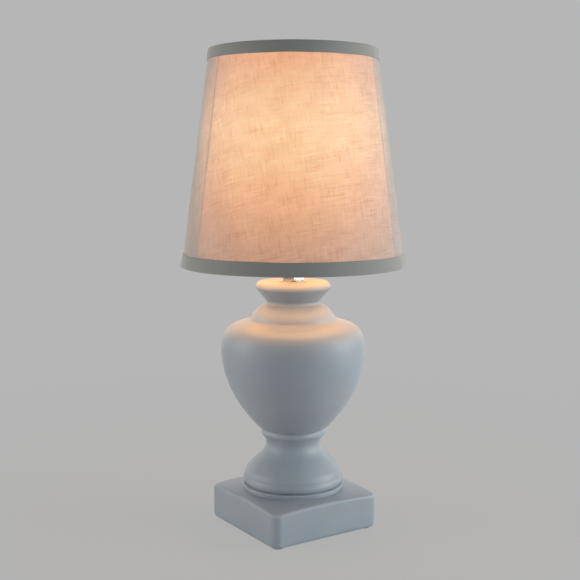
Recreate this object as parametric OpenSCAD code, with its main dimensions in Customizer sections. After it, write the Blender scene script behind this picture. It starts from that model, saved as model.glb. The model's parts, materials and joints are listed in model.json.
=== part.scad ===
// Table lamp: a turned, slip-cast ceramic base on a square plinth, with a tapered fabric shade.
// Millimetres, +Z up. The origin is on the table under the lamp's axis, and the cord leaves towards +Y.

/* [Plinth] */
// Side of the square plinth
plinth_w = 83; // [78:1:96]
// Height of the plinth
plinth_h = 27; // [25:0.5:36]
// Radius of the plinth's upright corners
plinth_corner_r = 7; // [5.5:0.5:9]
// Radius of the plinth's top edge
plinth_top_r = 5; // [2:0.5:5.5]
// Radius of the plinth's bottom edge
plinth_bottom_r = 2.5; // [1:0.5:3]
// Wall of the ceramic casting
ceramic_wall = 5; // [4:0.25:6]
// Width of the rim round the recess under the plinth
rim_w = 8; // [7:0.5:10]
// Corner radius of the recess
recess_corner_r = 5; // [3:0.5:8]
// Depth of the recess
recess_h = 14; // [13.5:0.5:15]

/* [Foot and waist] */
// Radius of the thin ring that the foot stands on
foot_ring_r = 34.8; // [33:0.2:37]
// Height of that ring
foot_ring_h = 1.6; // [1:0.1:3]
// Outer radius of the foot's bead
foot_bead_r = 34.1; // [32:0.1:36]
// Radius of the bead's rounding
foot_bead_round = 3.6; // [3:0.1:4.5]
// Outer radius of the band above the bead
foot_band_r = 33.1; // [31:0.1:35]
// Height of that band
foot_band_h = 4.9; // [3:0.1:7]
// How far the band leans in
foot_band_lean = 2.1; // [1:0.1:3]
// Width of the ledge above the band
foot_ledge = 0.6; // [0.3:0.1:1.5]
// Height of the bell from the ledge to the waist
foot_bell_h = 15.5; // [12:0.5:20]
// Radius of the waist
waist_r = 18.2; // [16:0.1:20]
// Height of the hollow from the waist to the collar
waist_cove_h = 5.7; // [4:0.1:8]

/* [Urn] */
// Outer radius of the collar bead under the urn
collar_r = 22; // [20.5:0.1:24]
// Radius of the collar's rounding
collar_round = 3.1; // [2.5:0.1:4]
// Radius of the urn where it leaves the collar
urn_low_r = 22.4; // [21:0.1:25]
// Radius of the urn at its widest
belly_r = 48.6; // [42:0.2:54]
// Height from the collar to the widest part
urn_low_h = 54.9; // [48:0.1:64]
// Height from the widest part to the shoulder
urn_top_h = 18.9; // [16:0.1:26]
// Radius where the shoulder meets the neck's bell
shoulder_r = 29; // [27:0.2:32]

/* [Neck] */
// Height of the small upright step on the shoulder
neck_step_h = 1.3; // [0.6:0.1:2.5]
// Inset of that step
neck_step_in = 0.4; // [0.2:0.1:1]
// Height of the neck's bell
neck_bell_h = 10; // [7:0.2:12]
// Radius of the neck
neck_r = 17.8; // [16:0.1:20]
// Height of the plain neck
neck_plain_h = 1.6; // [1:0.1:3]
// Height of the flare under the flange
flare_h = 6.6; // [5:0.1:9]
// Radius where the flare meets the flange's swelling edge
flare_r = 23.2; // [21:0.1:24]
// Outer radius of the flange
flange_r = 25.2; // [24.4:0.2:28]
// Height of the flange's swelling edge
flange_edge_h = 4.3; // [3:0.1:6]
// Radius of the flange's rounded top edge
flange_round = 2.2; // [1.5:0.1:3]

/* [Lamp pipe and nuts] */
// Radius of the threaded lamp pipe
pipe_r = 5; // [4.5:0.1:5.5]
// Wall of the pipe
pipe_wall = 1.1; // [0.8:0.1:1.5]
// Clearance of the ceramic's holes round the pipe
pipe_hole_gap = 0.5; // [0.3:0.1:1]
// How far the pipe stands out under the bottom nut
pipe_tail = 1.5; // [0.5:0.1:2.5]
// Width of the hexagon nuts across their flats
nut_af = 14; // [13:0.5:15]
// Thickness of the nut at the neck
neck_nut_h = 4.5; // [3:0.1:6]
// Thickness of the nut under the base
bottom_nut_h = 4; // [3:0.1:4.5]
// Radius of the washer under the neck nut
neck_washer_r = 8.6; // [8.2:0.1:9.5]
// Thickness of that washer
neck_washer_h = 0.6; // [0.5:0.1:1.5]
// Radius of the steel plate under the base
plate_r = 18; // [12:0.5:24]
// Thickness of the plate
plate_h = 1.5; // [1:0.1:2]
// Radius of the spring washer under the plate
lock_washer_r = 8.5; // [8:0.1:9]
// Thickness of the spring washer
lock_washer_h = 1.4; // [1:0.1:1.8]
// Width of the split in the spring washer
lock_washer_split = 1.2; // [0.8:0.1:2]

/* [Base fittings] */
// Height of the soft pads that the lamp stands on
pad_h = 1; // [0.8:0.1:3]
// Radius of the pads
pad_r = 3.6; // [3:0.1:3.8]
// Radius of the cord inlet's bore
inlet_r = 3.25; // [2.5:0.05:3.5]
// Wall of the cord bush
bush_wall = 1.15; // [0.8:0.05:1.4]
// Height of the cord inlet above the plinth's underside
inlet_rise = 8.2; // [8:0.1:8.4]
// How far the bush's flanges reach past its hole
bush_lip = 1.1; // [0.8:0.1:1.3]
// Thickness of the bush's flanges
bush_lip_h = 1.2; // [0.8:0.1:2]

/* [Lampholder] */
// Outer radius of the lampholder
holder_r = 13.5; // [13:0.1:14.5]
// Wall of the lampholder's shells
holder_wall = 1.9; // [1.6:0.1:2.1]
// Radius of the lampholder's threaded neck
holder_neck_r = 8.5; // [8:0.1:9.5]
// Height of that neck
holder_neck_h = 5; // [4.4:0.1:6]
// Height of the flare above the neck
holder_flare_h = 4; // [3:0.5:6]
// Height of the lower shell
holder_cap_h = 21; // [20:0.5:24]
// Height of the seat that holds the insert in the lower shell
insert_seat_h = 3.5; // [2.5:0.5:5]
// Height of the upper shell
skirt_h = 30.5; // [29:0.5:34]
// Radius of the shoulder that carries the shade
shoulder_flange_r = 17; // [16:0.1:17.5]
// Thickness of the shoulder
shoulder_flange_h = 2.5; // [1.5:0.1:4]
// Height of the shoulder's top above the lampholder's foot
shoulder_rise = 30.5; // [29.5:0.5:32]
// Pitch of the thread for the shade ring
ring_thread_pitch = 2.5; // [2:0.25:3]
// Depth of that thread
ring_thread_depth = 0.8; // [0.6:0.05:1]
// Thickness of the lip that keeps the insert in
skirt_lip_h = 2; // [1.5:0.5:3]
// Width of that lip
skirt_lip_w = 2.2; // [1.5:0.1:3]
// Thickness of the floor that carries the contacts
insert_floor_h = 5; // [4:0.1:5.5]
// Height of that floor's top above the lampholder's foot
insert_floor_rise = 30.5; // [30:0.1:31]
// Wall of the insert round the screw shell
insert_wall = 3.3; // [3:0.1:3.4]
// Wall of the insert's lower sleeve
insert_sleeve_wall = 1.4; // [1:0.1:1.8]
// Radius of the small clamping screws
screw_r = 1.5; // [1.2:0.1:1.6]
// Radius of their heads
screw_head_r = 1.9; // [1.8:0.1:2]
// Height of their heads
screw_head_h = 1.2; // [0.8:0.1:1.3]
// Width of each terminal block
terminal_w = 5; // [4.5:0.1:5]
// Length of each terminal block
terminal_l = 6.6; // [6:0.1:6.8]
// Height of each terminal block
terminal_h = 5; // [4.5:0.1:6]

/* [Bulb and its screw] */
// Pitch of the bulb's thread
bulb_pitch = 2.82; // [2.6:0.02:3]
// Radius of the bulb's thread at its crests
bulb_crest_r = 6.93; // [6.8:0.01:7]
// Depth of the thread
bulb_thread_depth = 0.8; // [0.6:0.05:0.9]
// Radial clearance between the bulb's thread and the screw shell
screw_gap = 0.24; // [0.2:0.01:0.26]
// Wall of the screw shell and of the bulb's cap
cap_wall = 0.45; // [0.35:0.05:0.5]
// Length of the bulb's thread
bulb_thread_h = 12; // [10:0.5:12.5]
// Height of the cap's plain collar
bulb_collar_h = 5; // [4:0.5:7]
// Height of the contact button
contact_h = 1.2; // [0.8:0.1:2]
// Radius of the contact button
contact_r = 2.4; // [2:0.1:3]
// Height of the black glass cone
insulator_h = 3; // [2:0.1:4]
// Radius of the round glass
glass_r = 22.5; // [20:0.5:23]
// Whole length of the bulb
bulb_l = 78; // [74:1:88]
// Radius of the glass where it enters the cap
glass_neck_r = 6.2; // [5.8:0.05:6.2]
// Thickness of the glass
glass_wall = 0.7; // [0.5:0.05:0.9]
// Height of the spring contact's tongue
tongue_h = 2; // [1.5:0.1:2.5]

/* [Shade] */
// Radius of the shade's lower edge, over the trim
shade_low_r = 75; // [70:0.5:82]
// Radius of the shade's upper edge, over the trim
shade_top_r = 55.6; // [48:0.2:64]
// Height of the shade
shade_h = 141.8; // [130:0.2:160]
// Thickness of the fabric cover
cover_t = 0.5; // [0.4:0.05:0.8]
// Thickness of the stiff lining
lining_t = 0.5; // [0.4:0.05:0.8]
// Thickness of the trim tape
trim_t = 0.6; // [0.4:0.05:0.8]
// Height of the lower trim
low_trim_h = 8.9; // [7:0.1:12]
// Height of the upper trim
top_trim_h = 7.5; // [6:0.1:12]
// Height of the tape that is folded inside
trim_fold_h = 5; // [4:0.1:6]
// Width of the overlap where the cover's ends are glued
seam_w = 10; // [6:0.5:16]

/* [Shade frame] */
// Radius of the wire of the two rings and the arms
ring_wire_r = 1.25; // [1:0.05:1.5]
// Radius of the wire of the uprights
upright_wire_r = 1; // [0.8:0.05:1.2]
// Number of uprights and arms
frame_arms = 3; // [3:1:6]
// Height of the hub above the shade's lower edge
hub_rise = 25.4; // [15:0.2:40]
// Radius of the bend in each arm
arm_bend_round = 5; // [3:0.5:8]
// Radius of the hub
hub_r = 21.5; // [20.5:0.1:26]
// Thickness of the hub
hub_h = 1.5; // [1:0.1:2]
// Clearance of the hub's hole round the lampholder's thread
hub_gap = 0.6; // [0.3:0.1:1]
// Radius of the shade ring's sleeve
clamp_sleeve_r = 16.8; // [16.4:0.1:18]
// Radius of the shade ring's flange
clamp_flange_r = 19.6; // [19:0.1:21]
// Height of the shade ring
clamp_h = 7; // [5:0.5:9]
// Thickness of the shade ring's flange
clamp_flange_h = 2; // [1.5:0.1:3]
// Number of grip ribs on the shade ring
clamp_ribs = 24; // [12:1:30]
// Radius of each grip rib
clamp_rib_r = 0.7; // [0.4:0.05:0.9]

/* [Hidden] */

// Fits and overruns that several pieces share
fit = 0.05;
seat_gap = 0.2;
body_gap = 0.3;
cut = 1;
edge_break = 0.3;
round_fn = 96;
small_fn = 32;

// Steps along the outline's curves, round its beads and round a bent wire
curve_steps = 18;
bead_steps = 8;
bead_low_angle = -60;
bead_high_angle = 50;
wire_sides = 16;

// Steps of the round screw threads, and how near the middle of a flat side lies to the axis
thread_sides = 24;
thread_steps = 8;
ring_thread_steps = 6;
flat_side_share = cos(180 / thread_sides);

// Directions, in degrees from +X, in which each curve leaves its lower end and reaches its upper one,
// and how far it is pulled along them, as shares of the distance between its ends
band_turn = [90, 125];
band_pull_shares = [0.3, 0.3];
bell_turn = [124, 90];
bell_pull_shares = [0.38, 0.28];
cove_turn = [90, 52];
cove_pull_shares = [0.3, 0.3];
urn_low_turn = [44, 90];
urn_low_pull_shares = [0.34, 0.34];
urn_top_turn = [90, 168];
urn_top_pull_shares = [0.56, 0.4];
neck_bell_turn = [112, 155];
neck_bell_pull_shares = [0.4, 0.3];
flange_edge_turn = [55, 90];
flange_edge_pull_shares = [0.3, 0.4];

// Heights of the ceramic, from the table up
plinth_z = pad_h;
recess_z = plinth_z + recess_h;
floor_z = recess_z + ceramic_wall;
plinth_top_z = plinth_z + plinth_h;
foot_bead_z = plinth_top_z + foot_ring_h - foot_bead_round * sin(bead_low_angle);
foot_band_z = foot_bead_z + foot_bead_round * sin(bead_high_angle) + edge_break;
foot_ledge_z = foot_band_z + foot_band_h;
waist_z = foot_ledge_z + edge_break + foot_bell_h;
collar_z = waist_z + waist_cove_h - collar_round * sin(bead_low_angle);
urn_low_z = collar_z + collar_round * sin(bead_high_angle) + edge_break;
belly_z = urn_low_z + urn_low_h;
shoulder_z = belly_z + urn_top_h;
neck_bell_z = shoulder_z + neck_step_h;
neck_z = neck_bell_z + neck_bell_h;
flare_z = neck_z + neck_plain_h;
flange_low_z = flare_z + flare_h;
flange_wide_z = flange_low_z + flange_edge_h;
flange_z = flange_wide_z + flange_round;

// Radii at the ends of the ceramic's curves
foot_ledge_r = foot_band_r - foot_band_lean;
bell_low_r = foot_ledge_r - foot_ledge;
neck_bell_r = shoulder_r - neck_step_in;

// Inside of the ceramic
recess_w = plinth_w - 2 * rim_w;
cavity_w = plinth_w - 2 * ceramic_wall;
cavity_corner_r = plinth_corner_r - ceramic_wall / 2;
cavity_top_z = plinth_top_z - ceramic_wall;
foot_cavity_r = foot_band_r - ceramic_wall;
throat_r = waist_r - ceramic_wall;
neck_cavity_r = neck_r - ceramic_wall;
pipe_hole_r = pipe_r + pipe_hole_gap;

// Stack of hardware at the neck and under the base
neck_nut_z = flange_z + neck_washer_h;
holder_z = neck_nut_z + neck_nut_h;
plate_z = recess_z - plate_h;
lock_washer_z = plate_z - lock_washer_h;
bottom_nut_z = lock_washer_z - bottom_nut_h;
pipe_z = bottom_nut_z - pipe_tail;
nut_bore_r = pipe_r + fit;

// Cord inlet and pads
inlet_z = plinth_z + inlet_rise;
bush_r = inlet_r + bush_wall;
bush_lip_r = bush_r + bush_lip;
rim_in_y = recess_w / 2;
rim_out_y = plinth_w / 2;
pad_in = recess_w / 2 - recess_corner_r + recess_corner_r / sqrt(2);
pad_out = plinth_w / 2 - plinth_corner_r + (plinth_corner_r - plinth_bottom_r) / sqrt(2);
pad_place = (pad_in + pad_out) / 2;

// Lampholder, from the neck nut up
holder_cap_z = holder_z + holder_neck_h + holder_flare_h;
skirt_z = holder_z + holder_cap_h;
insert_z = skirt_z - insert_seat_h;
skirt_top_z = skirt_z + skirt_h;
lip_z = skirt_top_z - skirt_lip_h;
shoulder_top_z = holder_z + shoulder_rise;
shoulder_low_z = shoulder_top_z - shoulder_flange_h;
contact_floor_z = holder_z + insert_floor_rise;
floor_under_z = contact_floor_z - insert_floor_h;
holder_in_r = holder_r - holder_wall;
insert_r = holder_in_r - fit;
insert_bore_r = insert_r - insert_wall;
insert_low_r = insert_r - insert_sleeve_wall;
lip_in_r = holder_in_r - skirt_lip_w;
pipe_top_z = holder_cap_z - holder_wall;
pipe_bore_r = pipe_r - pipe_wall;
lock_screw_z = holder_z + holder_neck_h / 2;
screw_slot_w = screw_r / 2;
screw_slot_h = screw_r / 2;
ring_crest_r = holder_r + ring_thread_depth / 2;
ring_root_r = holder_r - ring_thread_depth / 2;
sleeve_r = ring_root_r * flat_side_share - fit;
thread_core_r = (holder_in_r + sleeve_r) / 2;

// Bulb, from the spring contact up
tongue_z = contact_floor_z + tongue_h;
contact_z = tongue_z + body_gap;
insulator_z = contact_z + contact_h;
bulb_thread_z = insulator_z + insulator_h;
bulb_collar_z = bulb_thread_z + bulb_thread_h;
bulb_rim_z = bulb_collar_z + bulb_collar_h;
bulb_top_z = contact_z + bulb_l;
glass_z = bulb_top_z - glass_r;
bulb_mid_r = bulb_crest_r - bulb_thread_depth / 2;
bulb_root_r = bulb_crest_r - bulb_thread_depth;
cap_bore_r = bulb_root_r - cap_wall;
shell_mid_r = bulb_mid_r + screw_gap;
shell_end_r = bulb_crest_r + screw_gap;
shell_thread_z = bulb_thread_z - bulb_pitch / 2;
shell_top_z = bulb_collar_z - body_gap;
collar_bore_r = bulb_crest_r - cap_wall;
collar_low_z = bulb_collar_z - cap_wall;
cap_in_r = cap_bore_r * flat_side_share - fit;
glass_low_z = bulb_collar_z + body_gap;
glass_drop = glass_z - bulb_rim_z;

// Radius of the arc that runs from the glass's neck into the ball
glass_sweep_r = (pow(glass_neck_r, 2) + pow(glass_drop, 2) - pow(glass_r, 2)) / 2 / (glass_r - glass_neck_r);
glass_sweep_angle = atan2(glass_drop, glass_neck_r + glass_sweep_r);

// Stem and filaments inside the bulb
stem_foot_r = cap_bore_r - body_gap;
stem_foot_h = 2;
stem_foot_z = bulb_thread_z + bulb_thread_h / 2;
stem_r = 3;
stem_top_z = glass_z - glass_r / 2;
post_r = 1.1;
post_top_z = glass_z + glass_r / 2;
filament_r = 0.9;
filament_ring_r = 5;
filament_disc_rim = 0.4;
filament_disc_r = filament_ring_r + filament_r + filament_disc_rim;
filament_disc_h = 0.6;
filament_count = 4;

// Shade, hung from the lampholder's shoulder
hub_z = shoulder_top_z + seat_gap;
shade_z = hub_z - hub_rise;
shade_top_z = shade_z + shade_h;
shade_slope = (shade_low_r - shade_top_r) / shade_h;
cover_in = trim_t + fit;
lining_in = cover_in + cover_t + fit;
lamination_in = lining_in + lining_t + fit;
fold_in = lamination_in + trim_t;
ring_in = fold_in + fit + ring_wire_r;
low_ring_z = shade_z + trim_fold_h / 2 + ring_wire_r;
top_ring_z = shade_top_z - trim_fold_h / 2 - ring_wire_r;
low_ring_r = trim_r(low_ring_z) - ring_in;
top_ring_r = trim_r(top_ring_z) - ring_in;
frame_start = 180;
seam_angle = 130;

// Hub, arms and shade ring
hub_hole_r = ring_crest_r + hub_gap;
arm_z = hub_z - ring_wire_r - fit;
arm_end_r = shoulder_flange_r + 2 * body_gap;
arm_bend_r = hub_r + ring_wire_r;
arm_turn = (ring_wire_r + upright_wire_r + seat_gap) / low_ring_r * 180 / PI;

// Slope of the arm's straight part: it leaves the bend as a tangent and ends against the lower ring
arm_run = low_ring_r - arm_bend_r;
arm_drop = arm_z - arm_bend_round - low_ring_z;
arm_slope = asin(arm_bend_round / norm([arm_run, arm_drop])) + atan2(arm_drop, arm_run);
arm_tip = [low_ring_r, low_ring_z] - (ring_wire_r + fit) * [cos(arm_slope), -sin(arm_slope)];
clamp_z = hub_z + hub_h + seat_gap;
clamp_bore_r = ring_crest_r + body_gap;

// Outer radius of the trimmed shade at a height
function trim_r(z) = shade_low_r - (z - shade_z) * shade_slope;

// Points along an arc
function arc(centre, r, start, end, steps) =
    [for (i = [0 : steps]) let (a = start + (end - start) * i / steps) centre + r * [cos(a), sin(a)]];

// Points along a curve that leaves one end and reaches the other in the two directions given
function curve(low, high, turn, pull_shares, steps = curve_steps) =
    let (
        span = norm(high - low),
        low_pull = low + span * pull_shares[0] * [cos(turn[0]), sin(turn[0])],
        high_pull = high - span * pull_shares[1] * [cos(turn[1]), sin(turn[1])]
    )
    [for (i = [0 : steps]) let (t = i / steps, u = 1 - t)
        pow(u, 3) * low + 3 * u * u * t * low_pull + 3 * u * t * t * high_pull + pow(t, 3) * high];

// The ceramic's outline from the foot ring to the flange, bottom to top
function foot_outline() = concat(
    arc([foot_ring_r - foot_ring_h / 2, plinth_top_z + foot_ring_h / 2], foot_ring_h / 2, -90, 90,
        bead_steps),
    arc([foot_bead_r - foot_bead_round, foot_bead_z], foot_bead_round, bead_low_angle, bead_high_angle,
        bead_steps),
    curve([foot_band_r, foot_band_z], [foot_ledge_r, foot_ledge_z], band_turn, band_pull_shares, bead_steps),
    curve([bell_low_r, foot_ledge_z + edge_break], [waist_r, waist_z], bell_turn, bell_pull_shares)
);
function urn_outline() = concat(
    curve([waist_r, waist_z],
        [collar_r - collar_round + collar_round * cos(bead_low_angle), waist_z + waist_cove_h],
        cove_turn, cove_pull_shares, bead_steps),
    arc([collar_r - collar_round, collar_z], collar_round, bead_low_angle, bead_high_angle, bead_steps),
    curve([urn_low_r, urn_low_z], [belly_r, belly_z], urn_low_turn, urn_low_pull_shares),
    curve([belly_r, belly_z], [shoulder_r, shoulder_z], urn_top_turn, urn_top_pull_shares)
);
function neck_outline() = concat(
    curve([neck_bell_r, neck_bell_z], [neck_r, neck_z], neck_bell_turn, neck_bell_pull_shares, bead_steps),
    [[neck_r, flare_z]],
    curve([flare_r, flange_low_z], [flange_r, flange_wide_z], flange_edge_turn, flange_edge_pull_shares,
        bead_steps),
    arc([flange_r - flange_round, flange_wide_z], flange_round, 0, 90, bead_steps)
);

// The inside of the casting, a wall in from the outline
function cavity_outline() = concat(
    [[0, floor_z], [foot_cavity_r, floor_z], [foot_cavity_r, foot_band_z]],
    curve([bell_low_r - ceramic_wall, foot_ledge_z], [throat_r, waist_z], bell_turn, bell_pull_shares),
    curve([throat_r, urn_low_z], [belly_r - ceramic_wall, belly_z], urn_low_turn, urn_low_pull_shares),
    curve([belly_r - ceramic_wall, belly_z], [shoulder_r - ceramic_wall, shoulder_z - ceramic_wall],
        urn_top_turn, urn_top_pull_shares),
    [[neck_cavity_r, neck_bell_z], [neck_cavity_r, flare_z], [0, flare_z + neck_cavity_r]]
);

// Section of a slab's rounded edge, from the corner's centre outwards
module edge_section(r, h, top_r, bottom_r) {
    polygon(concat(
        [[0, 0]],
        arc([r - bottom_r, bottom_r], bottom_r, -90, 0, bead_steps),
        arc([r - top_r, h - top_r], top_r, 0, 90, bead_steps),
        [[0, h]]
    ));
}

// Square slab with round upright corners and rounded top and bottom edges
module rounded_slab(w, h, r, top_r, bottom_r) {
    reach = w / 2 - r;
    translate([-reach, -reach]) cube([2 * reach, 2 * reach, h]);
    for (turn = [0 : 90 : 270]) rotate(turn) {
        translate([reach, reach]) rotate_extrude(angle = 90, $fn = small_fn)
            edge_section(r, h, top_r, bottom_r);
        translate([reach, reach]) rotate([90, 0, 0]) linear_extrude(2 * reach)
            edge_section(r, h, top_r, bottom_r);
    }
}

// Square prism with round upright corners
module rounded_prism(w, h, r) {
    reach = w / 2 - r;
    linear_extrude(h) union() {
        square([w, 2 * reach], center = true);
        square([2 * reach, w], center = true);
        for (x = [-reach, reach]) for (y = [-reach, reach]) translate([x, y]) circle(r, $fn = small_fn);
    }
}

// Ring of rectangular section between two heights
module washer(z, h, r, hole_r) {
    translate([0, 0, z]) difference() {
        cylinder(h = h, r = r, $fn = round_fn);
        translate([0, 0, -cut]) cylinder(h = h + 2 * cut, r = hole_r, $fn = round_fn);
    }
}

// Hexagon nut with its corners turned off at both ends
module hex_nut(z, h) {
    corner_r = nut_af / 2 / cos(30);
    corner_drop = corner_r - nut_af / 2;
    translate([0, 0, z]) difference() {
        intersection() {
            cylinder(h = h, r = corner_r, $fn = 6);
            rotate_extrude($fn = round_fn) polygon([
                [0, 0], [nut_af / 2, 0], [corner_r, corner_drop / 2], [corner_r, h - corner_drop / 2],
                [nut_af / 2, h], [0, h]
            ]);
        }
        translate([0, 0, -cut]) cylinder(h = h + 2 * cut, r = nut_bore_r, $fn = round_fn);
    }
}

// Radius of a round thread, which fades to end_r over half a turn at each end
function thread_r(angle, z, low, high, mid_r, depth, pitch, end_r) =
    let (fade = min(1, (z - low) / (pitch / 2), (high - z) / (pitch / 2)))
    end_r + fade * (mid_r + depth / 2 * cos(angle - 360 * z / pitch) - end_r);

// Two triangles between the corners a and b of one ring and c and d of the next
function band_faces(a, b, c, d) = [[a, c, b], [b, c, d]];

// Tube between two heights with a round thread outside, inside or both: each wall is given as
// [middle radius, thread depth, radius at the ends], and a plain wall has two rings of points
module threaded_tube(low, high, pitch, outer, inner, steps) {
    walls = [outer, inner];
    turns = (high - low) / pitch;
    rings = [for (wall = walls) wall[1] > 0 ? ceil(turns * steps) : 1];
    last = thread_sides - 1;
    spots = [
        for (w = [0, 1]) for (i = [0 : rings[w]]) for (j = [0 : last])
            let (
                z = low + (high - low) * i / rings[w],
                a = 360 * j / thread_sides,
                r = thread_r(a, z, low, high, walls[w][0], walls[w][1], pitch, walls[w][2])
            )
            [r * cos(a), r * sin(a), z]
    ];
    function at(w, i, j) = w * (rings[0] + 1) * thread_sides + i * thread_sides + j % thread_sides;
    polyhedron(spots, [
        for (j = [0 : last]) each concat(
            [for (i = [0 : rings[0] - 1])
                each band_faces(at(0, i, j), at(0, i, j + 1), at(0, i + 1, j), at(0, i + 1, j + 1))],
            [for (i = [0 : rings[1] - 1])
                each band_faces(at(1, i, j + 1), at(1, i, j), at(1, i + 1, j + 1), at(1, i + 1, j))],
            band_faces(at(1, 0, j), at(1, 0, j + 1), at(0, 0, j), at(0, 0, j + 1)),
            band_faces(at(0, rings[0], j), at(0, rings[0], j + 1), at(1, rings[1], j), at(1, rings[1], j + 1))
        )
    ]);
}

// Straight round bar between two points
module bar(start, end, r) {
    way = end - start;
    translate(start) rotate([0, acos(way[2] / norm(way)), atan2(way[1], way[0])])
        cylinder(h = norm(way), r = r, $fn = small_fn);
}

// Round wire along points in the XZ plane, each given as [x, z]
module bent_wire(spots, wire_r) {
    last = len(spots) - 1;
    function way(i) = let (step = spots[min(i + 1, last)] - spots[max(i - 1, 0)]) step / norm(step);
    function at(i, j) = i * wire_sides + j % wire_sides;
    skin = [
        for (i = [0 : last]) for (j = [0 : wire_sides - 1])
            let (a = 360 * j / wire_sides, out = wire_r * cos(a) * [way(i)[1], -way(i)[0]])
            [spots[i][0] + out[0], wire_r * sin(a), spots[i][1] + out[1]]
    ];
    polyhedron(skin, concat(
        [for (i = [0 : last - 1]) for (j = [0 : wire_sides - 1])
            each band_faces(at(i, j), at(i, j + 1), at(i + 1, j), at(i + 1, j + 1))],
        [for (j = [1 : wire_sides - 2]) [at(0, 0), at(0, j), at(0, j + 1)]],
        [for (j = [1 : wire_sides - 2]) [at(last, 0), at(last, j + 1), at(last, j)]]
    ));
}

// Ring of round wire
module wire_ring(z, r, wire_r) {
    translate([0, 0, z]) rotate_extrude($fn = round_fn) translate([r, 0]) circle(wire_r, $fn = small_fn);
}

// Sheet that follows the shade's cone, some way in from the trim
module cone_sheet(low, high, inset, t, start = 0, angle = 360) {
    rotate(start) rotate_extrude(angle = angle, $fn = round_fn) polygon([
        [trim_r(low) - inset - t, low], [trim_r(low) - inset, low],
        [trim_r(high) - inset, high], [trim_r(high) - inset - t, high]
    ]);
}

// Trim tape folded over an edge of the shade: edge is its outer fold, side is 1 upwards and -1 downwards
module trim(edge, h, side) {
    fold = edge + side * trim_t;
    rotate_extrude($fn = round_fn) polygon([
        [trim_r(edge), edge],
        [trim_r(edge + side * h), edge + side * h],
        [trim_r(edge + side * h) - trim_t, edge + side * h],
        [trim_r(fold) - trim_t, fold],
        [trim_r(fold) - lamination_in, fold],
        [trim_r(edge + side * trim_fold_h) - lamination_in, edge + side * trim_fold_h],
        [trim_r(edge + side * trim_fold_h) - fold_in, edge + side * trim_fold_h],
        [trim_r(edge) - fold_in, edge]
    ]);
}

module ceramic_body() {
    color("slategray") difference() {
        union() {
            translate([0, 0, plinth_z])
                rounded_slab(plinth_w, plinth_h, plinth_corner_r, plinth_top_r, plinth_bottom_r);
            rotate_extrude($fn = round_fn) polygon(concat(
                [[0, cavity_top_z], [foot_ring_r - foot_ring_h / 2, cavity_top_z]],
                foot_outline(), urn_outline(), neck_outline(), [[0, flange_z]]
            ));
        }
        rotate_extrude($fn = round_fn) polygon(cavity_outline());
        translate([0, 0, floor_z]) rounded_prism(cavity_w, cavity_top_z - floor_z, cavity_corner_r);
        translate([0, 0, plinth_z - cut]) rounded_prism(recess_w, recess_h + cut, recess_corner_r);
        translate([0, 0, recess_z - cut])
            cylinder(h = flange_z - recess_z + 2 * cut, r = pipe_hole_r, $fn = round_fn);
        translate([0, rim_in_y - cut, inlet_z]) rotate([-90, 0, 0])
            cylinder(h = rim_w + 2 * cut, r = bush_r + fit, $fn = round_fn);
    }
}

module foot_pads() {
    color("gainsboro") for (x = [-pad_place, pad_place]) for (y = [-pad_place, pad_place])
        translate([x, y, 0]) cylinder(h = pad_h, r = pad_r, $fn = small_fn);
}

module cord_bush() {
    color("dimgray") translate([0, rim_in_y - bush_lip_h, inlet_z]) rotate([-90, 0, 0]) difference() {
        union() {
            cylinder(h = bush_lip_h, r = bush_lip_r, $fn = round_fn);
            cylinder(h = rim_w + 2 * bush_lip_h, r = bush_r, $fn = round_fn);
            translate([0, 0, rim_w + bush_lip_h]) cylinder(h = bush_lip_h, r = bush_lip_r, $fn = round_fn);
        }
        translate([0, 0, -cut]) cylinder(h = rim_w + 2 * (bush_lip_h + cut), r = inlet_r, $fn = round_fn);
    }
}

module lamp_pipe() {
    color("gold") washer(pipe_z, pipe_top_z - pipe_z, pipe_r, pipe_bore_r);
}

module bottom_plate() {
    color("silver") washer(plate_z, plate_h, plate_r, nut_bore_r);
}

module lock_washer() {
    color("silver") difference() {
        washer(lock_washer_z, lock_washer_h, lock_washer_r, nut_bore_r);
        translate([0, -lock_washer_split / 2, lock_washer_z - cut])
            cube([lock_washer_r + cut, lock_washer_split, lock_washer_h + 2 * cut]);
    }
}

module bottom_nut() {
    color("silver") hex_nut(bottom_nut_z, bottom_nut_h);
}

module neck_washer() {
    color("whitesmoke") washer(flange_z, neck_washer_h, neck_washer_r, nut_bore_r);
}

module neck_nut() {
    color("silver") hex_nut(neck_nut_z, neck_nut_h);
}

module holder_cap() {
    color("ivory") difference() {
        rotate_extrude($fn = round_fn) polygon([
            [nut_bore_r, holder_z], [holder_neck_r, holder_z], [holder_neck_r, holder_z + holder_neck_h],
            [holder_r, holder_cap_z], [holder_r, skirt_z], [holder_in_r, skirt_z], [holder_in_r, insert_z],
            [insert_low_r, insert_z], [insert_low_r, holder_cap_z + holder_wall],
            [holder_neck_r, holder_cap_z], [nut_bore_r, holder_cap_z]
        ]);
        translate([0, 0, lock_screw_z]) rotate([0, 90, 0])
            cylinder(h = holder_neck_r + cut, r = screw_r + fit, $fn = small_fn);
    }
}

module holder_lock_screw() {
    color("silver") translate([pipe_r + fit, 0, lock_screw_z]) rotate([0, 90, 0]) difference() {
        cylinder(h = holder_neck_r - pipe_r, r = screw_r, $fn = small_fn);
        translate([-screw_r - cut, -screw_slot_w / 2, holder_neck_r - pipe_r - screw_slot_h])
            cube([2 * (screw_r + cut), screw_slot_w, screw_slot_h + cut]);
    }
}

module holder_insert() {
    color("white") rotate_extrude($fn = round_fn) polygon([
        [insert_low_r, insert_z], [insert_r, insert_z], [insert_r, lip_z], [insert_bore_r, lip_z],
        [insert_bore_r, contact_floor_z], [0, contact_floor_z], [0, floor_under_z],
        [insert_low_r, floor_under_z]
    ]);
}

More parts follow.
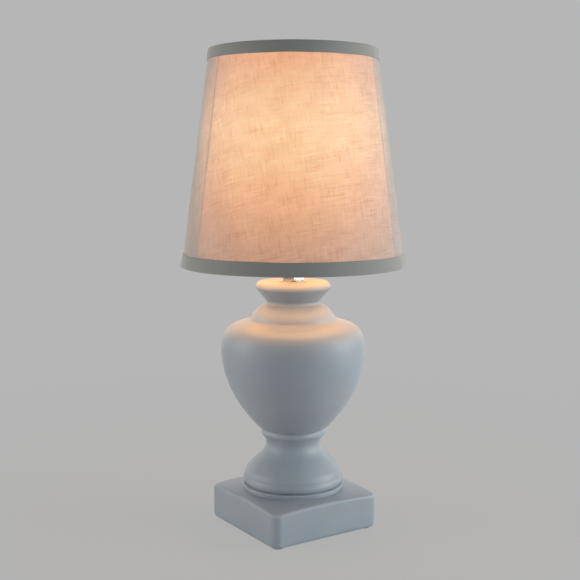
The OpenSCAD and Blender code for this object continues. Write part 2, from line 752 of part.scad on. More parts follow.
module terminal_blocks() {
    color("goldenrod") for (side = [-1, 1])
        translate([side * terminal_w, 0, floor_under_z - terminal_h / 2]) difference() {
            cube([terminal_w, terminal_l, terminal_h], center = true);
            rotate([90, 0, 0])
                cylinder(h = terminal_l + 2 * cut, r = screw_r + fit, center = true, $fn = small_fn);
        }
}

module terminal_screws() {
    color("silver") for (side = [-1, 1])
        translate([side * terminal_w, -terminal_l / 2, floor_under_z - terminal_h / 2]) rotate([90, 0, 0])
            difference() {
                union() {
                    cylinder(h = screw_head_h, r = screw_head_r, $fn = small_fn);
                    translate([0, 0, -terminal_l / 2])
                        cylinder(h = terminal_l / 2, r = screw_r, $fn = small_fn);
                }
                translate([-screw_head_r - cut, -screw_slot_w / 2, screw_head_h - screw_slot_h])
                    cube([2 * (screw_head_r + cut), screw_slot_w, screw_slot_h + cut]);
            }
}

module screw_shell() {
    color("gold") {
        threaded_tube(shell_thread_z, shell_top_z, bulb_pitch,
            [shell_mid_r + cap_wall, bulb_thread_depth, shell_end_r + cap_wall],
            [shell_mid_r, bulb_thread_depth, shell_end_r], thread_steps);
        washer(contact_floor_z, shell_thread_z + fit - contact_floor_z, shell_end_r + cap_wall + fit,
            shell_end_r * flat_side_share - fit);
    }
}

module centre_contact() {
    tongue_t = cap_wall;
    tongue_w = 2 * contact_r;
    color("goldenrod") translate([0, tongue_w / 2, 0]) rotate([90, 0, 0]) linear_extrude(tongue_w) polygon([
        [-shell_mid_r + cap_wall, contact_floor_z], [-contact_r, contact_floor_z],
        [contact_r, tongue_z - tongue_t], [contact_r, tongue_z],
        [0, tongue_z], [-contact_r, contact_floor_z + tongue_t],
        [-shell_mid_r + cap_wall, contact_floor_z + tongue_t]
    ]);
}

module holder_skirt() {
    color("ivory") {
        rotate_extrude($fn = round_fn) polygon([
            [holder_in_r, skirt_z], [holder_r, skirt_z], [holder_r, shoulder_low_z],
            [shoulder_flange_r - edge_break, shoulder_low_z],
            [shoulder_flange_r, shoulder_low_z + edge_break],
            [shoulder_flange_r, shoulder_top_z - edge_break],
            [shoulder_flange_r - edge_break, shoulder_top_z], [sleeve_r, shoulder_top_z],
            [sleeve_r, lip_z], [ring_root_r + fit, lip_z], [ring_root_r + fit, skirt_top_z],
            [lip_in_r, skirt_top_z], [lip_in_r, lip_z], [holder_in_r, lip_z]
        ]);
        threaded_tube(shoulder_top_z - fit, lip_z + fit, ring_thread_pitch,
            [holder_r, ring_thread_depth, ring_root_r], [thread_core_r, 0, thread_core_r], ring_thread_steps);
    }
}

module shade_clamp_ring() {
    color("ivory") difference() {
        union() {
            translate([0, 0, clamp_z]) cylinder(h = clamp_flange_h, r = clamp_flange_r, $fn = round_fn);
            translate([0, 0, clamp_z]) cylinder(h = clamp_h, r = clamp_sleeve_r, $fn = round_fn);
            for (i = [0 : clamp_ribs - 1]) rotate(360 * i / clamp_ribs)
                translate([clamp_sleeve_r, 0, clamp_z + clamp_flange_h / 2])
                    cylinder(h = clamp_h - clamp_flange_h, r = clamp_rib_r, $fn = small_fn);
        }
        translate([0, 0, clamp_z - cut]) cylinder(h = clamp_h + 2 * cut, r = clamp_bore_r, $fn = round_fn);
    }
}

module fitter_hub() {
    color("whitesmoke") washer(hub_z, hub_h, hub_r, hub_hole_r);
}

// Each arm runs level under the hub, bends down and goes straight to the lower ring
module fitter_arms() {
    color("whitesmoke") for (i = [0 : frame_arms - 1])
        rotate(frame_start + arm_turn + 360 * i / frame_arms) bent_wire(concat(
            [[arm_end_r, arm_z]],
            arc([arm_bend_r, arm_z - arm_bend_round], arm_bend_round, 90, 90 - arm_slope, bead_steps),
            [arm_tip]
        ), ring_wire_r);
}

module low_wire_ring() {
    color("whitesmoke") wire_ring(low_ring_z, low_ring_r, ring_wire_r);
}

module top_wire_ring() {
    color("whitesmoke") wire_ring(top_ring_z, top_ring_r, ring_wire_r);
}

module frame_uprights() {
    color("whitesmoke") for (i = [0 : frame_arms - 1])
        rotate(frame_start + 360 * i / frame_arms) difference() {
            bar([low_ring_r, 0, low_ring_z], [top_ring_r, 0, top_ring_z], upright_wire_r);
            wire_ring(low_ring_z, low_ring_r, ring_wire_r + fit);
            wire_ring(top_ring_z, top_ring_r, ring_wire_r + fit);
        }
}

module shade_lining() {
    color("linen") cone_sheet(shade_z + trim_t, shade_top_z - trim_t, lining_in, lining_t);
}

module shade_cover() {
    seam_sweep = seam_w / shade_low_r * 180 / PI;
    color("peachpuff") {
        cone_sheet(shade_z + trim_t, shade_top_z - trim_t, cover_in, cover_t);
        cone_sheet(shade_z + low_trim_h + fit, shade_top_z - top_trim_h - fit, 0, trim_t,
            seam_angle, seam_sweep);
    }
}

module low_trim() {
    color("dimgray") trim(shade_z, low_trim_h, 1);
}

module top_trim() {
    color("dimgray") trim(shade_top_z, top_trim_h, -1);
}

// Outline of the bulb's glass, some way in from its outer face
function glass_outline(inset) = concat(
    [[glass_neck_r - inset, glass_low_z]],
    arc([glass_neck_r + glass_sweep_r, bulb_rim_z], glass_sweep_r + inset, 180, 180 - glass_sweep_angle,
        curve_steps),
    arc([0, glass_z], glass_r - inset, -glass_sweep_angle, 90, 2 * curve_steps)
);

module bulb_glass() {
    color("lightyellow") rotate_extrude($fn = round_fn) difference() {
        polygon(concat(glass_outline(0), [[0, glass_low_z]]));
        polygon(concat(glass_outline(glass_wall), [[0, glass_low_z]]));
    }
}

module bulb_stem() {
    color("lightcyan") rotate_extrude($fn = round_fn) polygon([
        [0, stem_foot_z], [stem_foot_r, stem_foot_z], [stem_foot_r, stem_foot_z + stem_foot_h],
        [stem_r, stem_foot_z + 2 * stem_foot_h], [stem_r, stem_top_z - stem_r], [post_r, stem_top_z],
        [post_r, post_top_z], [0, post_top_z]
    ]);
}

module bulb_filaments() {
    color("gold") difference() {
        union() {
            translate([0, 0, stem_top_z]) cylinder(h = filament_disc_h, r = filament_disc_r, $fn = small_fn);
            translate([0, 0, post_top_z - filament_disc_h])
                cylinder(h = filament_disc_h, r = filament_disc_r, $fn = small_fn);
            for (i = [0 : filament_count - 1]) rotate(360 * i / filament_count)
                translate([filament_ring_r, 0, stem_top_z])
                    cylinder(h = post_top_z - stem_top_z, r = filament_r, $fn = small_fn);
        }
        translate([0, 0, stem_top_z - cut])
            cylinder(h = post_top_z - stem_top_z + 2 * cut, r = post_r + fit, $fn = small_fn);
    }
}

module bulb_cap() {
    color("silver") {
        threaded_tube(bulb_thread_z, collar_low_z + fit, bulb_pitch,
            [bulb_mid_r, bulb_thread_depth, bulb_root_r], [cap_bore_r, 0, cap_bore_r], thread_steps);
        rotate_extrude($fn = round_fn) polygon([
            [cap_in_r, collar_low_z], [bulb_root_r + fit, collar_low_z],
            [bulb_crest_r, bulb_collar_z], [bulb_crest_r, bulb_rim_z], [collar_bore_r, bulb_rim_z],
            [collar_bore_r, bulb_collar_z], [cap_in_r, bulb_collar_z]
        ]);
    }
}

module bulb_insulator() {
    color("black") rotate_extrude($fn = round_fn) polygon([
        [0, insulator_z], [contact_r, insulator_z], [bulb_root_r, bulb_thread_z],
        [cap_in_r, bulb_thread_z], [cap_in_r, bulb_thread_z + insulator_h],
        [0, bulb_thread_z + insulator_h]
    ]);
}

module bulb_contact() {
    color("silver") rotate_extrude($fn = round_fn) polygon([
        [0, contact_z], [contact_r / 2, contact_z], [contact_r, contact_z + contact_h / 2],
        [contact_r, insulator_z], [0, insulator_z]
    ]);
}

ceramic_body();
foot_pads();
cord_bush();
lamp_pipe();
bottom_plate();
lock_washer();
bottom_nut();
neck_washer();
neck_nut();
holder_cap();
holder_lock_screw();
holder_insert();
terminal_blocks();
terminal_screws();
screw_shell();
centre_contact();
holder_skirt();
shade_clamp_ring();
fitter_hub();
fitter_arms();
low_wire_ring();
top_wire_ring();
frame_uprights();
shade_lining();
shade_cover();
low_trim();
top_trim();
bulb_glass();
bulb_stem();
bulb_filaments();
bulb_cap();
bulb_insulator();
bulb_contact();
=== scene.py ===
"""Table lamp: a glazed ceramic base on a square plinth, with a linen shade lit from inside."""

import json
import math
from typing import NamedTuple

import bpy
import numpy as np
from bpy.props import FloatProperty, FloatVectorProperty, PointerProperty
from bpy.types import Operator, Panel, PropertyGroup
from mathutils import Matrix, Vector

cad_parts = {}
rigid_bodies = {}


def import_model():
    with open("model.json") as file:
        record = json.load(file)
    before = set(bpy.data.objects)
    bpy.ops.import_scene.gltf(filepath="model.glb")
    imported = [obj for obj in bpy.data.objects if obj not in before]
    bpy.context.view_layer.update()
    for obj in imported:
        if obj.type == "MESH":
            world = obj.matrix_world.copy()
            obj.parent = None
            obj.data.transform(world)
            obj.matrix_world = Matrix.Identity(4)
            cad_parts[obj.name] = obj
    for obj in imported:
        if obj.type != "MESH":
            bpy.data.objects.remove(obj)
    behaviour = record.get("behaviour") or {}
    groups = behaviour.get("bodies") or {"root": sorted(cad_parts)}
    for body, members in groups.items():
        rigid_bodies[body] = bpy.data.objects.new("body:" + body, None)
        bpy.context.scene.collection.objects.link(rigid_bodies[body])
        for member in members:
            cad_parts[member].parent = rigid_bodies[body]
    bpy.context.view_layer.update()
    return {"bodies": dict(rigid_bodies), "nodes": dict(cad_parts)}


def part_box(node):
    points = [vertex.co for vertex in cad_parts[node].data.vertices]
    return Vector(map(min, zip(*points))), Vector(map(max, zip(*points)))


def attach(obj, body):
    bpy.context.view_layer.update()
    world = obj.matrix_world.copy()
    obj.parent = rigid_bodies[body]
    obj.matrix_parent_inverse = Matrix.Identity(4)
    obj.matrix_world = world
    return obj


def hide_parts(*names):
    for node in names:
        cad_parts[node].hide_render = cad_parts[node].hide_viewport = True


bl_info = {
    "name": "Ceramic table lamp",
    "version": (1, 0, 0),
    "blender": (4, 5, 0),
    "location": "View3D > Sidebar > Lamp",
    "description": "Builds a small ceramic table lamp with a fabric shade round its packed frame",
    "category": "Add Mesh",
}

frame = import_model()

MM = 0.001


# Settings


def srgb(text):
    """Linear RGBA of an sRGB hex colour."""
    shares = [int(text[i:i + 2], 16) / 255 for i in (1, 3, 5)]
    linear = [c / 12.92 if c <= 0.04045 else ((c + 0.055) / 1.055) ** 2.4 for c in shares]
    return (*linear, 1.0)


def length(name, about, mm):
    """A length property, given in millimetres and held in metres."""
    return FloatProperty(name=name, description=about, default=mm * MM, min=0, unit="LENGTH")


def colour(name, about, text):
    """A colour property with an sRGB hex default."""
    return FloatVectorProperty(
        name=name, description=about, default=srgb(text), size=4, min=0, max=1, subtype="COLOR")


def power(name, about, watts):
    """A power property, in watts."""
    return FloatProperty(name=name, description=about, default=watts, min=0, unit="POWER")


def amount(name, about, value):
    """A property without a unit."""
    return FloatProperty(name=name, description=about, default=value, min=0)


class LAMP_PG_ceramic(PropertyGroup):
    """Sizes of the slip-cast base, from its plinth to its flange."""

    plinth_w: length("Plinth width", "Side of the square plinth", 83)
    plinth_h: length("Plinth height", "Height of the plinth", 27)
    corner_r: length("Corner radius", "Radius of the plinth's upright corners", 6)
    top_edge_r: length("Top edge radius", "Radius of the plinth's top edge", 1.4)
    top_step: length("Step at the foot", "How far the plinth's top lies below the foot's ring", 1.3)
    top_fall: length(
        "Fall of the top", "How far the plinth's top falls from the foot to its sides", 2.2)
    corner_fall: length(
        "Fall of the corners", "How far the plinth's corners fall below its sides", 1.3)
    bottom_edge_r: length("Bottom edge radius", "Radius of the plinth's bottom edge", 2.5)
    rim_w: length("Rim width", "Width of the rim round the recess underneath", 8)
    recess_h: length("Recess depth", "Depth of the recess underneath", 14)
    recess_corner_r: length("Recess corner radius", "Corner radius of the recess", 5)
    ring_r: length("Foot ring radius", "Radius of the thin ring that the foot stands on", 34.8)
    ring_h: length("Foot ring height", "Height of the thin ring", 1.6)
    bead_r: length("Foot bead radius", "Outer radius of the foot's bead", 34.1)
    bead_round: length("Foot bead rounding", "Radius of the bead's rounding", 3.6)
    band_r: length("Band radius", "Outer radius of the band above the bead", 33.1)
    band_h: length("Band height", "Height of the band", 4.9)
    band_lean: length("Band lean", "How far the band leans in", 2.1)
    ledge: length("Ledge", "Width of the ledge above the band", 0.6)
    bell_h: length("Foot bell height", "Height from the ledge to the waist", 15.5)
    waist_r: length("Waist radius", "Radius of the waist", 18.2)
    cove_h: length("Cove height", "Height of the hollow from the waist to the collar", 5.7)
    collar_r: length("Collar radius", "Outer radius of the bead under the urn", 22)
    collar_round: length("Collar rounding", "Radius of the collar's rounding", 3.1)
    urn_r: length("Urn foot radius", "Radius of the urn where it leaves the collar", 22.4)
    belly_r: length("Belly radius", "Radius of the urn at its widest", 48.6)
    urn_h: length("Urn height", "Height from the collar to the belly", 54.9)
    top_h: length("Shoulder rise", "Height from the belly to the shoulder", 18.9)
    shoulder_r: length("Shoulder radius", "Radius where the shoulder meets the neck's bell", 29)
    step_h: length("Step height", "Height of the upright step on the shoulder", 1.3)
    step_in: length("Step inset", "Inset of the step", 0.4)
    neck_bell_h: length("Neck bell height", "Height of the neck's bell", 10)
    neck_r: length("Neck radius", "Radius of the neck", 17.8)
    neck_h: length("Neck height", "Height of the plain neck", 1.6)
    flare_h: length("Flare height", "Height of the flare under the flange", 6.6)
    flare_r: length("Flare radius", "Radius where the flare meets the flange's edge", 23.2)
    flange_r: length("Flange radius", "Outer radius of the flange", 25.2)
    flange_edge_h: length("Flange edge height", "Height of the flange's swelling edge", 3.1)
    flange_round: length("Flange rounding", "Radius of the flange's rounded top edge", 3.4)
    break_h: length("Edge break", "Small rise between two forms of the outline", 0.3)
    hole_r: length("Pipe hole radius", "Radius of the hole for the lamp pipe", 5.5)
    hole_round: length("Pipe hole rounding", "Rounding of the hole's upper edge", 0.6)
    glaze_soft: length("Glaze softening", "How far the glaze fills a sharp corner", 0.45)


class LAMP_PG_shade(PropertyGroup):
    """Sizes of the fabric shade."""

    cover_in: length("Cover inset", "How far the fabric lies inside the trim's outer face", 0.65)
    lining_in: length("Lining inset", "How far the lining lies inside the trim's outer face", 1.45)
    tape_t: length("Tape thickness", "Thickness of the trim tape", 0.6)
    tape_fold: length("Tape fold", "Height of the tape that is folded inside", 5)
    seam_w: length("Seam overlap", "Width of the overlap where the fabric's ends are glued", 10)
    thread: length(
        "Thread spacing", "Spacing of the linen's threads, drawn coarse enough to show", 1.1)
    weft_slub: length(
        "Weft slub length", "Length of a thick place in a thread round the shade", 17)
    warp_slub: length("Warp slub length", "Length of a thick place in a thread up the shade", 12)


class LAMP_PG_colours(PropertyGroup):
    """Colours of the finishes, as they look in plain white light."""

    glaze: colour("Glaze", "Grey-blue satin glaze", "#868f99")
    glaze_thin: colour("Thin glaze", "The glaze where it breaks thin over an edge", "#a3abb2")
    linen: colour("Linen", "Linen in reflected light", "#9e9591")
    linen_thick: colour("Thick linen", "Linen where its threads are thick", "#90817a")
    linen_glow: colour("Linen, lit through", "Light through it level with the bulb", "#e8b67d")
    linen_glow_top: colour("Linen, lit high up", "Light through its upper edge", "#dc985e")
    linen_glow_deep: colour("Linen, lit below", "Light through it below the bulb", "#dc9b5e")
    linen_glow_low: colour("Linen, lit low down", "Light through its lower edge", "#af774b")
    lining: colour("Lining", "Styrene film inside the shade", "#e9e4da")
    tape: colour("Trim tape", "Grey ribbon tape on the shade's edges", "#8a8a89")
    frame: colour("Shade frame", "White powder coat on the wire", "#e8e5dd")
    holder: colour("Lampholder", "Ivory thermoset moulding", "#e6dfcf")
    chrome: colour("Chrome", "Bright chrome plate", "#dcdcdc")
    zinc: colour("Zinc", "Zinc-plated steel", "#b9babb")
    brass: colour("Brass", "Plain brass", "#d2ac62")
    bush: colour("Bush", "Dark nylon cord bush", "#3b3c3e")
    felt: colour("Felt", "Pads under the plinth", "#8f8d88")
    opal: colour("Opal glass", "Bulb glass", "#f7f0e4")
    insulator: colour("Cap insulator", "Black glass in the bulb's cap", "#191919")
    bulb_light: colour("Bulb light", "Warm light of the bulb", "#ffcf9b")
    spill_light: colour("Spill light", "Light of the shade's inside on the base", "#ffb778")
    glow_light: colour("Glow light", "Light that the bulb sends straight down", "#ffa340")
    floor: colour("Floor", "Floor and background", "#b6b6b6")
    floor_bounce: colour("Floor bounce", "The floor as its light reaches the lamp", "#dadada")


class LAMP_PG_light(PropertyGroup):
    """Powers and levels of the studio and of the bulb."""

    bulb: power("Bulb power", "Power of the bulb inside the shade", 0.1)
    spill: power("Spill power", "Power of the shade's inside on the base", 0.11)
    glow: power("Glow power", "Power of the bulb's light straight down", 0.1)
    key: power("Key power", "Power of the soft box on the right", 8.6)
    cool: power("Cool power", "Power of the cool soft box at the right and in front", 1.2)
    key_rim: power("Key rim power", "Power of the soft box behind on the right", 1.7)
    fill: power("Fill power", "Power of the soft box on the left", 5.3)
    fill_rim: power("Fill rim power", "Power of the soft box behind on the left", 1.5)
    back: power("Back power", "Power of the soft box behind and above", 1.6)
    ambient: amount("Ambient level", "Level of the low ring of even light all round", 3.0)
    bulb_look: amount("Bulb glow", "How bright the lit glass itself looks", 1.0)


# Outlines and meshes


def arc(centre, radius, start, end, steps=12):
    """Points along an arc, with its angles in degrees."""
    angles = np.radians(np.linspace(start, end, steps + 1))
    return [(centre[0] + radius * math.cos(a), centre[1] + radius * math.sin(a)) for a in angles]


def curve(low, high, turn, pull, steps=40):
    """Points along a curve between two ends. It follows a direction at each of them, in degrees,
    and pull says how far, as shares of the distance between the ends."""
    low, high = np.array(low), np.array(high)
    span = np.linalg.norm(high - low)
    ways = [np.array((math.cos(math.radians(a)), math.sin(math.radians(a)))) for a in turn]
    low_pull, high_pull = low + span * pull[0] * ways[0], high - span * pull[1] * ways[1]
    t = np.linspace(0, 1, steps + 1)[:, None]
    u = 1 - t
    points = u**3 * low + 3 * u * u * t * low_pull + 3 * u * t * t * high_pull + t**3 * high
    return list(map(tuple, points))


def soften(points, step, passes):
    """Points at even steps along a line, with its corners rounded as a glaze rounds them."""
    points = np.array(points)
    spans = np.linalg.norm(np.diff(points, axis=0), axis=1)
    along = np.concatenate([[0], np.cumsum(spans)])
    keep = np.concatenate([[True], np.diff(along) > 0])
    points, along = points[keep], along[keep]
    at = np.linspace(0, along[-1], max(2, round(along[-1] / step)) + 1)
    line = np.stack([np.interp(at, along, points[:, i]) for i in (0, 1)], axis=1)
    for _ in range(passes):
        line[1:-1] = (line[:-2] + 2 * line[1:-1] + line[2:]) / 4
    return line


def turned_outline(c, base_z):
    """Outline of the turned part, as (radius, height) from the plinth's top to the pipe hole."""
    # Both beads are round from one of these angles to the other
    low_angle, high_angle = -60, 50
    bead_z = base_z + c.ring_h - c.bead_round * math.sin(math.radians(low_angle))
    band_z = bead_z + c.bead_round * math.sin(math.radians(high_angle)) + c.break_h
    ledge_z = band_z + c.band_h
    bell_z = ledge_z + c.break_h
    waist_z = bell_z + c.bell_h
    cove_z = waist_z + c.cove_h
    collar_z = cove_z - c.collar_round * math.sin(math.radians(low_angle))
    urn_z = collar_z + c.collar_round * math.sin(math.radians(high_angle)) + c.break_h
    belly_z = urn_z + c.urn_h
    shoulder_z = belly_z + c.top_h
    neck_bell_z = shoulder_z + c.step_h
    neck_z = neck_bell_z + c.neck_bell_h
    flare_z = neck_z + c.neck_h
    flange_low_z = flare_z + c.flare_h
    flange_wide_z = flange_low_z + c.flange_edge_h
    flange_z = flange_wide_z + c.flange_round
    ledge_r = c.band_r - c.band_lean
    bell_r = ledge_r - c.ledge
    collar_in = c.collar_r - c.collar_round
    cove_r = collar_in + c.collar_round * math.cos(math.radians(low_angle))
    neck_bell_r = c.shoulder_r - c.step_in
    # Each curve has its two ends, the directions at them, and how far it follows these
    return [
        *arc((c.ring_r - c.ring_h / 2, base_z + c.ring_h / 2), c.ring_h / 2, -90, 90),
        *arc((c.bead_r - c.bead_round, bead_z), c.bead_round, low_angle, high_angle),
        *curve((c.band_r, band_z), (ledge_r, ledge_z), (90, 125), (0.3, 0.3)),
        *curve((bell_r, bell_z), (c.waist_r, waist_z), (124, 90), (0.38, 0.28)),
        *curve((c.waist_r, waist_z), (cove_r, cove_z), (90, 52), (0.3, 0.3)),
        *arc((collar_in, collar_z), c.collar_round, low_angle, high_angle),
        *curve((c.urn_r, urn_z), (c.belly_r, belly_z), (44, 90), (0.34, 0.34)),
        *curve((c.belly_r, belly_z), (c.shoulder_r, shoulder_z), (90, 168), (0.56, 0.4)),
        *curve((neck_bell_r, neck_bell_z), (c.neck_r, neck_z), (112, 155), (0.4, 0.3)),
        (c.neck_r, flare_z),
        *curve((c.flare_r, flange_low_z), (c.flange_r, flange_wide_z), (55, 90), (0.3, 0.4)),
        *arc((c.flange_r - c.flange_round, flange_wide_z), c.flange_round, 0, 90),
        *arc((c.hole_r + c.hole_round, flange_z - c.hole_round), c.hole_round, 90, 180),
    ]


def rounded_square(half, radius, side_steps=36, corner_steps=12):
    """Points round a square with round corners, in equal numbers for every size."""
    reach = half - radius
    side = [(half, reach * t) for t in np.linspace(-1, 1, side_steps + 1)[:-1]]
    corner = arc((reach, reach), radius, 0, 90, corner_steps)[:-1]
    quarter = np.array(side + corner)
    turns = [np.array(((c, s), (-s, c))) for c, s in ((1, 0), (0, 1), (-1, 0), (0, -1))]
    return np.concatenate([quarter @ turn for turn in turns])


def full_turn(steps):
    """Equal steps once round a circle, in radians, without the last, which is the first again."""
    return np.linspace(0, 2 * math.pi, steps + 1)[:-1]


def at_height(points, z):
    """Flat points lifted to a height."""
    return np.column_stack([points, np.full(len(points), z)])


def ring(radius, turns, z):
    """Points round the axis. Radius and height are one for the ring or one for each point."""
    height = np.broadcast_to(z, turns.shape)
    return np.column_stack([radius * np.cos(turns), radius * np.sin(turns), height])


def mesh_from_loops(name, loops, closed=False, round_loops=True):
    """Object whose skin runs through loops with equal numbers of points. A closed one joins the
    last loop to the first, and round loops join their last point to their first."""
    rows, columns = len(loops), len(loops[0])
    row_ends = rows if closed else rows - 1
    column_ends = columns if round_loops else columns - 1
    i, j = np.meshgrid(np.arange(row_ends), np.arange(column_ends), indexing="ij")
    below, above = i * columns, (i + 1) % rows * columns
    after = (j + 1) % columns
    faces = np.stack([below + j, below + after, above + after, above + j], axis=-1)
    mesh = bpy.data.meshes.new(name)
    mesh.from_pydata(np.concatenate(loops).tolist(), [], faces.reshape(-1, 4).tolist())
    mesh.shade_smooth()
    piece = bpy.data.objects.new(name, mesh)
    bpy.context.scene.collection.objects.link(piece)
    return piece


def apply_modifiers(piece):
    """Puts the result of a piece's modifiers into its mesh."""
    graph = bpy.context.evaluated_depsgraph_get()
    mesh = bpy.data.meshes.new_from_object(piece.evaluated_get(graph))
    piece.modifiers.clear()
    piece.data = mesh


def paint(piece, material):
    """Gives a piece its material, in its only slot."""
    piece.data.materials.clear()
    piece.data.materials.append(material)


def dress(material, *nodes):
    """Gives CAD nodes a material."""
    for name in nodes:
        piece = frame["nodes"][name]
        piece.data.materials.clear()
        piece.data.materials.append(material)


# Materials


def new_material(name):
    """A material and its empty node tree."""
    material = bpy.data.materials.new(name)
    material.use_nodes = True
    material.node_tree.nodes.clear()
    return material, material.node_tree


def add_node(tree, kind, inputs=(), **options):
    """Adds a shader node with its options. Its inputs go by name or in order, among those that the
    options leave in use. Each is a constant, a socket, or a node, whose first output is meant."""
    node = tree.nodes.new("ShaderNode" + kind)
    for name, value in options.items():
        setattr(node, name, value)
    sockets = [socket for socket in node.inputs if socket.enabled]
    if isinstance(inputs, dict):
        names = [socket.name for socket in sockets]
        sockets = [sockets[names.index(name)] for name in inputs]
        inputs = inputs.values()
    for socket, value in zip(sockets, inputs):
        if isinstance(value, bpy.types.Node):
            value = next(output for output in value.outputs if output.enabled)
        if isinstance(value, bpy.types.NodeSocket):
            tree.links.new(value, socket)
        else:
            socket.default_value = value
    return node


def grains(tree, place, size_mm, detail=2.0):
    """An uneven pattern whose grains have a real size, one for all axes or one for each."""
    sizes = size_mm if isinstance(size_mm, tuple) else (size_mm,) * 3
    scaled = add_node(
        tree, "VectorMath", [place, [1 / (size * MM) for size in sizes]], operation="MULTIPLY")
    return add_node(tree, "TexNoise", {"Vector": scaled, "Scale": 1.0, "Detail": detail})


def dulled(tint, share):
    """A colour brought down to a share of itself."""
    return [c * share for c in tint[:3]] + [1.0]


# Levels between which most of a pattern of grains lies
LOW, HIGH = 0.3, 0.7


def glazed_earthenware(colours):
    """Slip-cast earthenware under a satin glaze: soft broad highlights, a faint mottle from the
    spray, and a slightly paler line where the glaze runs thin over an edge."""
    material, tree = new_material("glazed_earthenware")
    place = add_node(tree, "TexCoord").outputs["Object"]
    cloud = grains(tree, place, size_mm=22, detail=3)
    speck = grains(tree, place, size_mm=0.7)
    # Pointiness is half on a flat face, and more on an edge
    edge = add_node(tree, "NewGeometry").outputs["Pointiness"]
    thin = add_node(tree, "MapRange", {
        "Value": edge, "From Min": 0.515, "From Max": 0.56, "To Max": 0.25})
    clouded = add_node(tree, "MapRange", [cloud, LOW, HIGH, 0.0, 0.16])
    paler = add_node(tree, "Math", [thin, clouded], operation="ADD")
    glaze = add_node(tree, "Mix", [paler, colours.glaze, colours.glaze_thin], data_type="RGBA")
    satin = add_node(tree, "MapRange", {
        "Value": speck, "From Min": 0.2, "From Max": 0.8, "To Min": 0.4, "To Max": 0.48})
    waves = add_node(tree, "Bump", {"Height": cloud, "Strength": 0.25, "Distance": 0.15 * MM})
    fine = add_node(tree, "Bump", {
        "Height": speck, "Strength": 0.12, "Distance": 0.02 * MM, "Normal": waves})
    shader = add_node(tree, "BsdfPrincipled", {
        "Base Color": glaze, "Roughness": satin, "IOR": 1.46, "Normal": fine})
    add_node(tree, "OutputMaterial", [shader])
    return material


# The linen's weave, for threads both ways: each kind of place is as long as a share of a slub and
# as wide as a share of the thread spacing. Then come its pattern's detail, the levels between
# which it grows, and how much denser it makes the cloth
WEAVE = {
    "even": (0.6, 1.0, 1.5, LOW, HIGH, 0.24),
    "thick": (1.0, 1.4, 1.0, 0.58, 0.8, 0.5),
    "thin": (1.2, 1.3, 1.0, 0.42, 0.22, -0.35),
}

# Its slow unevenness: the size of a patch in mm, and how much denser it makes the cloth
PATCH_MM = (16.0, 9.0, 1.0)
PATCH_SHARE = 0.42

# What the cloth lets through of each colour where its threads are thin and where they are thick
LIT_THIN = (1.08, 1.12, 1.16, 1.0)
LIT_THICK = (0.84, 0.76, 0.66, 1.0)

# Light through the cloth, painted as a glow of the cloth itself: the bulb's level, and the levels
# at which its four colours stand, as shares of the cover's height
BULB_LEVEL = 0.65
GLOW_LEVELS = (0.06, 0.32, BULB_LEVEL, 0.95)

# Painted shade on the glow: what the fuzz leaves of it, by how edge on the cloth is seen (0 is
# straight on), and how much sooner above and below the bulb, where the light meets the cloth aslant
FUZZ_SHARES = {
    0.0: (1.0, 1.0, 1.0),
    0.08: (0.98, 0.97, 0.97),
    0.2: (0.92, 0.88, 0.86),
    0.36: (0.8, 0.71, 0.66),
    0.46: (0.67, 0.59, 0.56),
    0.58: (0.6, 0.49, 0.45),
    0.76: (0.42, 0.36, 0.34),
    0.88: (0.2, 0.18, 0.17),
    0.98: (0.05, 0.05, 0.05),
}
FUZZ_OFF_BULB = 0.52

# The frame's uprights, and the painted shadow that each casts on the glow: what it leaves of the
# light, by the sine of the turn away from it times half their number, which is 0 at each of them
UPRIGHTS = 3
WIRE_SHADOW_SHARES = {
    0.0: (0.57, 0.54, 0.52),
    0.02: (0.63, 0.6, 0.58),
    0.038: (1.0, 1.0, 1.0),
}

# Share of its turn from one upright to the next that the cloth loses by being drawn flat
PANEL_FLATNESS = 0.08


def plain_linen(colours, shade):
    """Plain-woven slubby linen laminated to film: even threads with sparse thick and thin places
    both ways, which the painted glow of the lamp inside shows as deeper and paler streaks. Its
    threads are drawn wider apart than real ones, so that they show."""
    material, tree = new_material("plain_linen")
    flat = add_node(tree, "Attribute", attribute_name="flat_place").outputs["Vector"]
    parts = []
    for long, wide, detail, low, high, share in WEAVE.values():
        width = shade.thread / MM * wide
        weft = (shade.weft_slub / MM * long, width, 1.0)
        warp = (width, shade.warp_slub / MM * long, 1.0)
        for size_mm in (weft, warp):
            pattern = grains(tree, flat, size_mm, detail)
            parts.append(add_node(tree, "MapRange", [pattern, low, high, 0.0, share]))
    patches = grains(tree, flat, PATCH_MM)
    parts.append(add_node(tree, "MapRange", [patches, LOW, HIGH, 0.0, PATCH_SHARE]))
    dense = parts[0]
    for part in parts[1:]:
        dense = add_node(tree, "Math", [dense, part], operation="ADD")
    facing = flat_panels(tree)
    weave = add_node(tree, "Mix", [dense, LIT_THIN, LIT_THICK], data_type="RGBA")
    light = add_node(
        tree, "Mix", [1.0, lamp_glow(tree, colours, facing), weave],
        data_type="RGBA", blend_type="MULTIPLY")
    cloth = add_node(tree, "Mix", [dense, colours.linen, colours.linen_thick], data_type="RGBA")
    bump = add_node(tree, "Bump", {
        "Height": dense, "Strength": 0.4, "Distance": 0.25 * MM, "Normal": facing})
    surface = add_node(tree, "BsdfPrincipled", {
        "Base Color": cloth, "Roughness": 0.92, "Sheen Weight": 0.35, "Sheen Roughness": 0.5,
        "Emission Color": light, "Emission Strength": 1.0, "Normal": bump})
    add_node(tree, "OutputMaterial", [surface])
    return material


def round_axis(tree):
    """Where a point lies about the lamp's axis: its azimuth, and its height."""
    axes = add_node(tree, "SeparateXYZ", [add_node(tree, "TexCoord").outputs["Object"]]).outputs
    return add_node(tree, "Math", [axes["Y"], axes["X"]], operation="ARCTAN2"), axes["Z"]


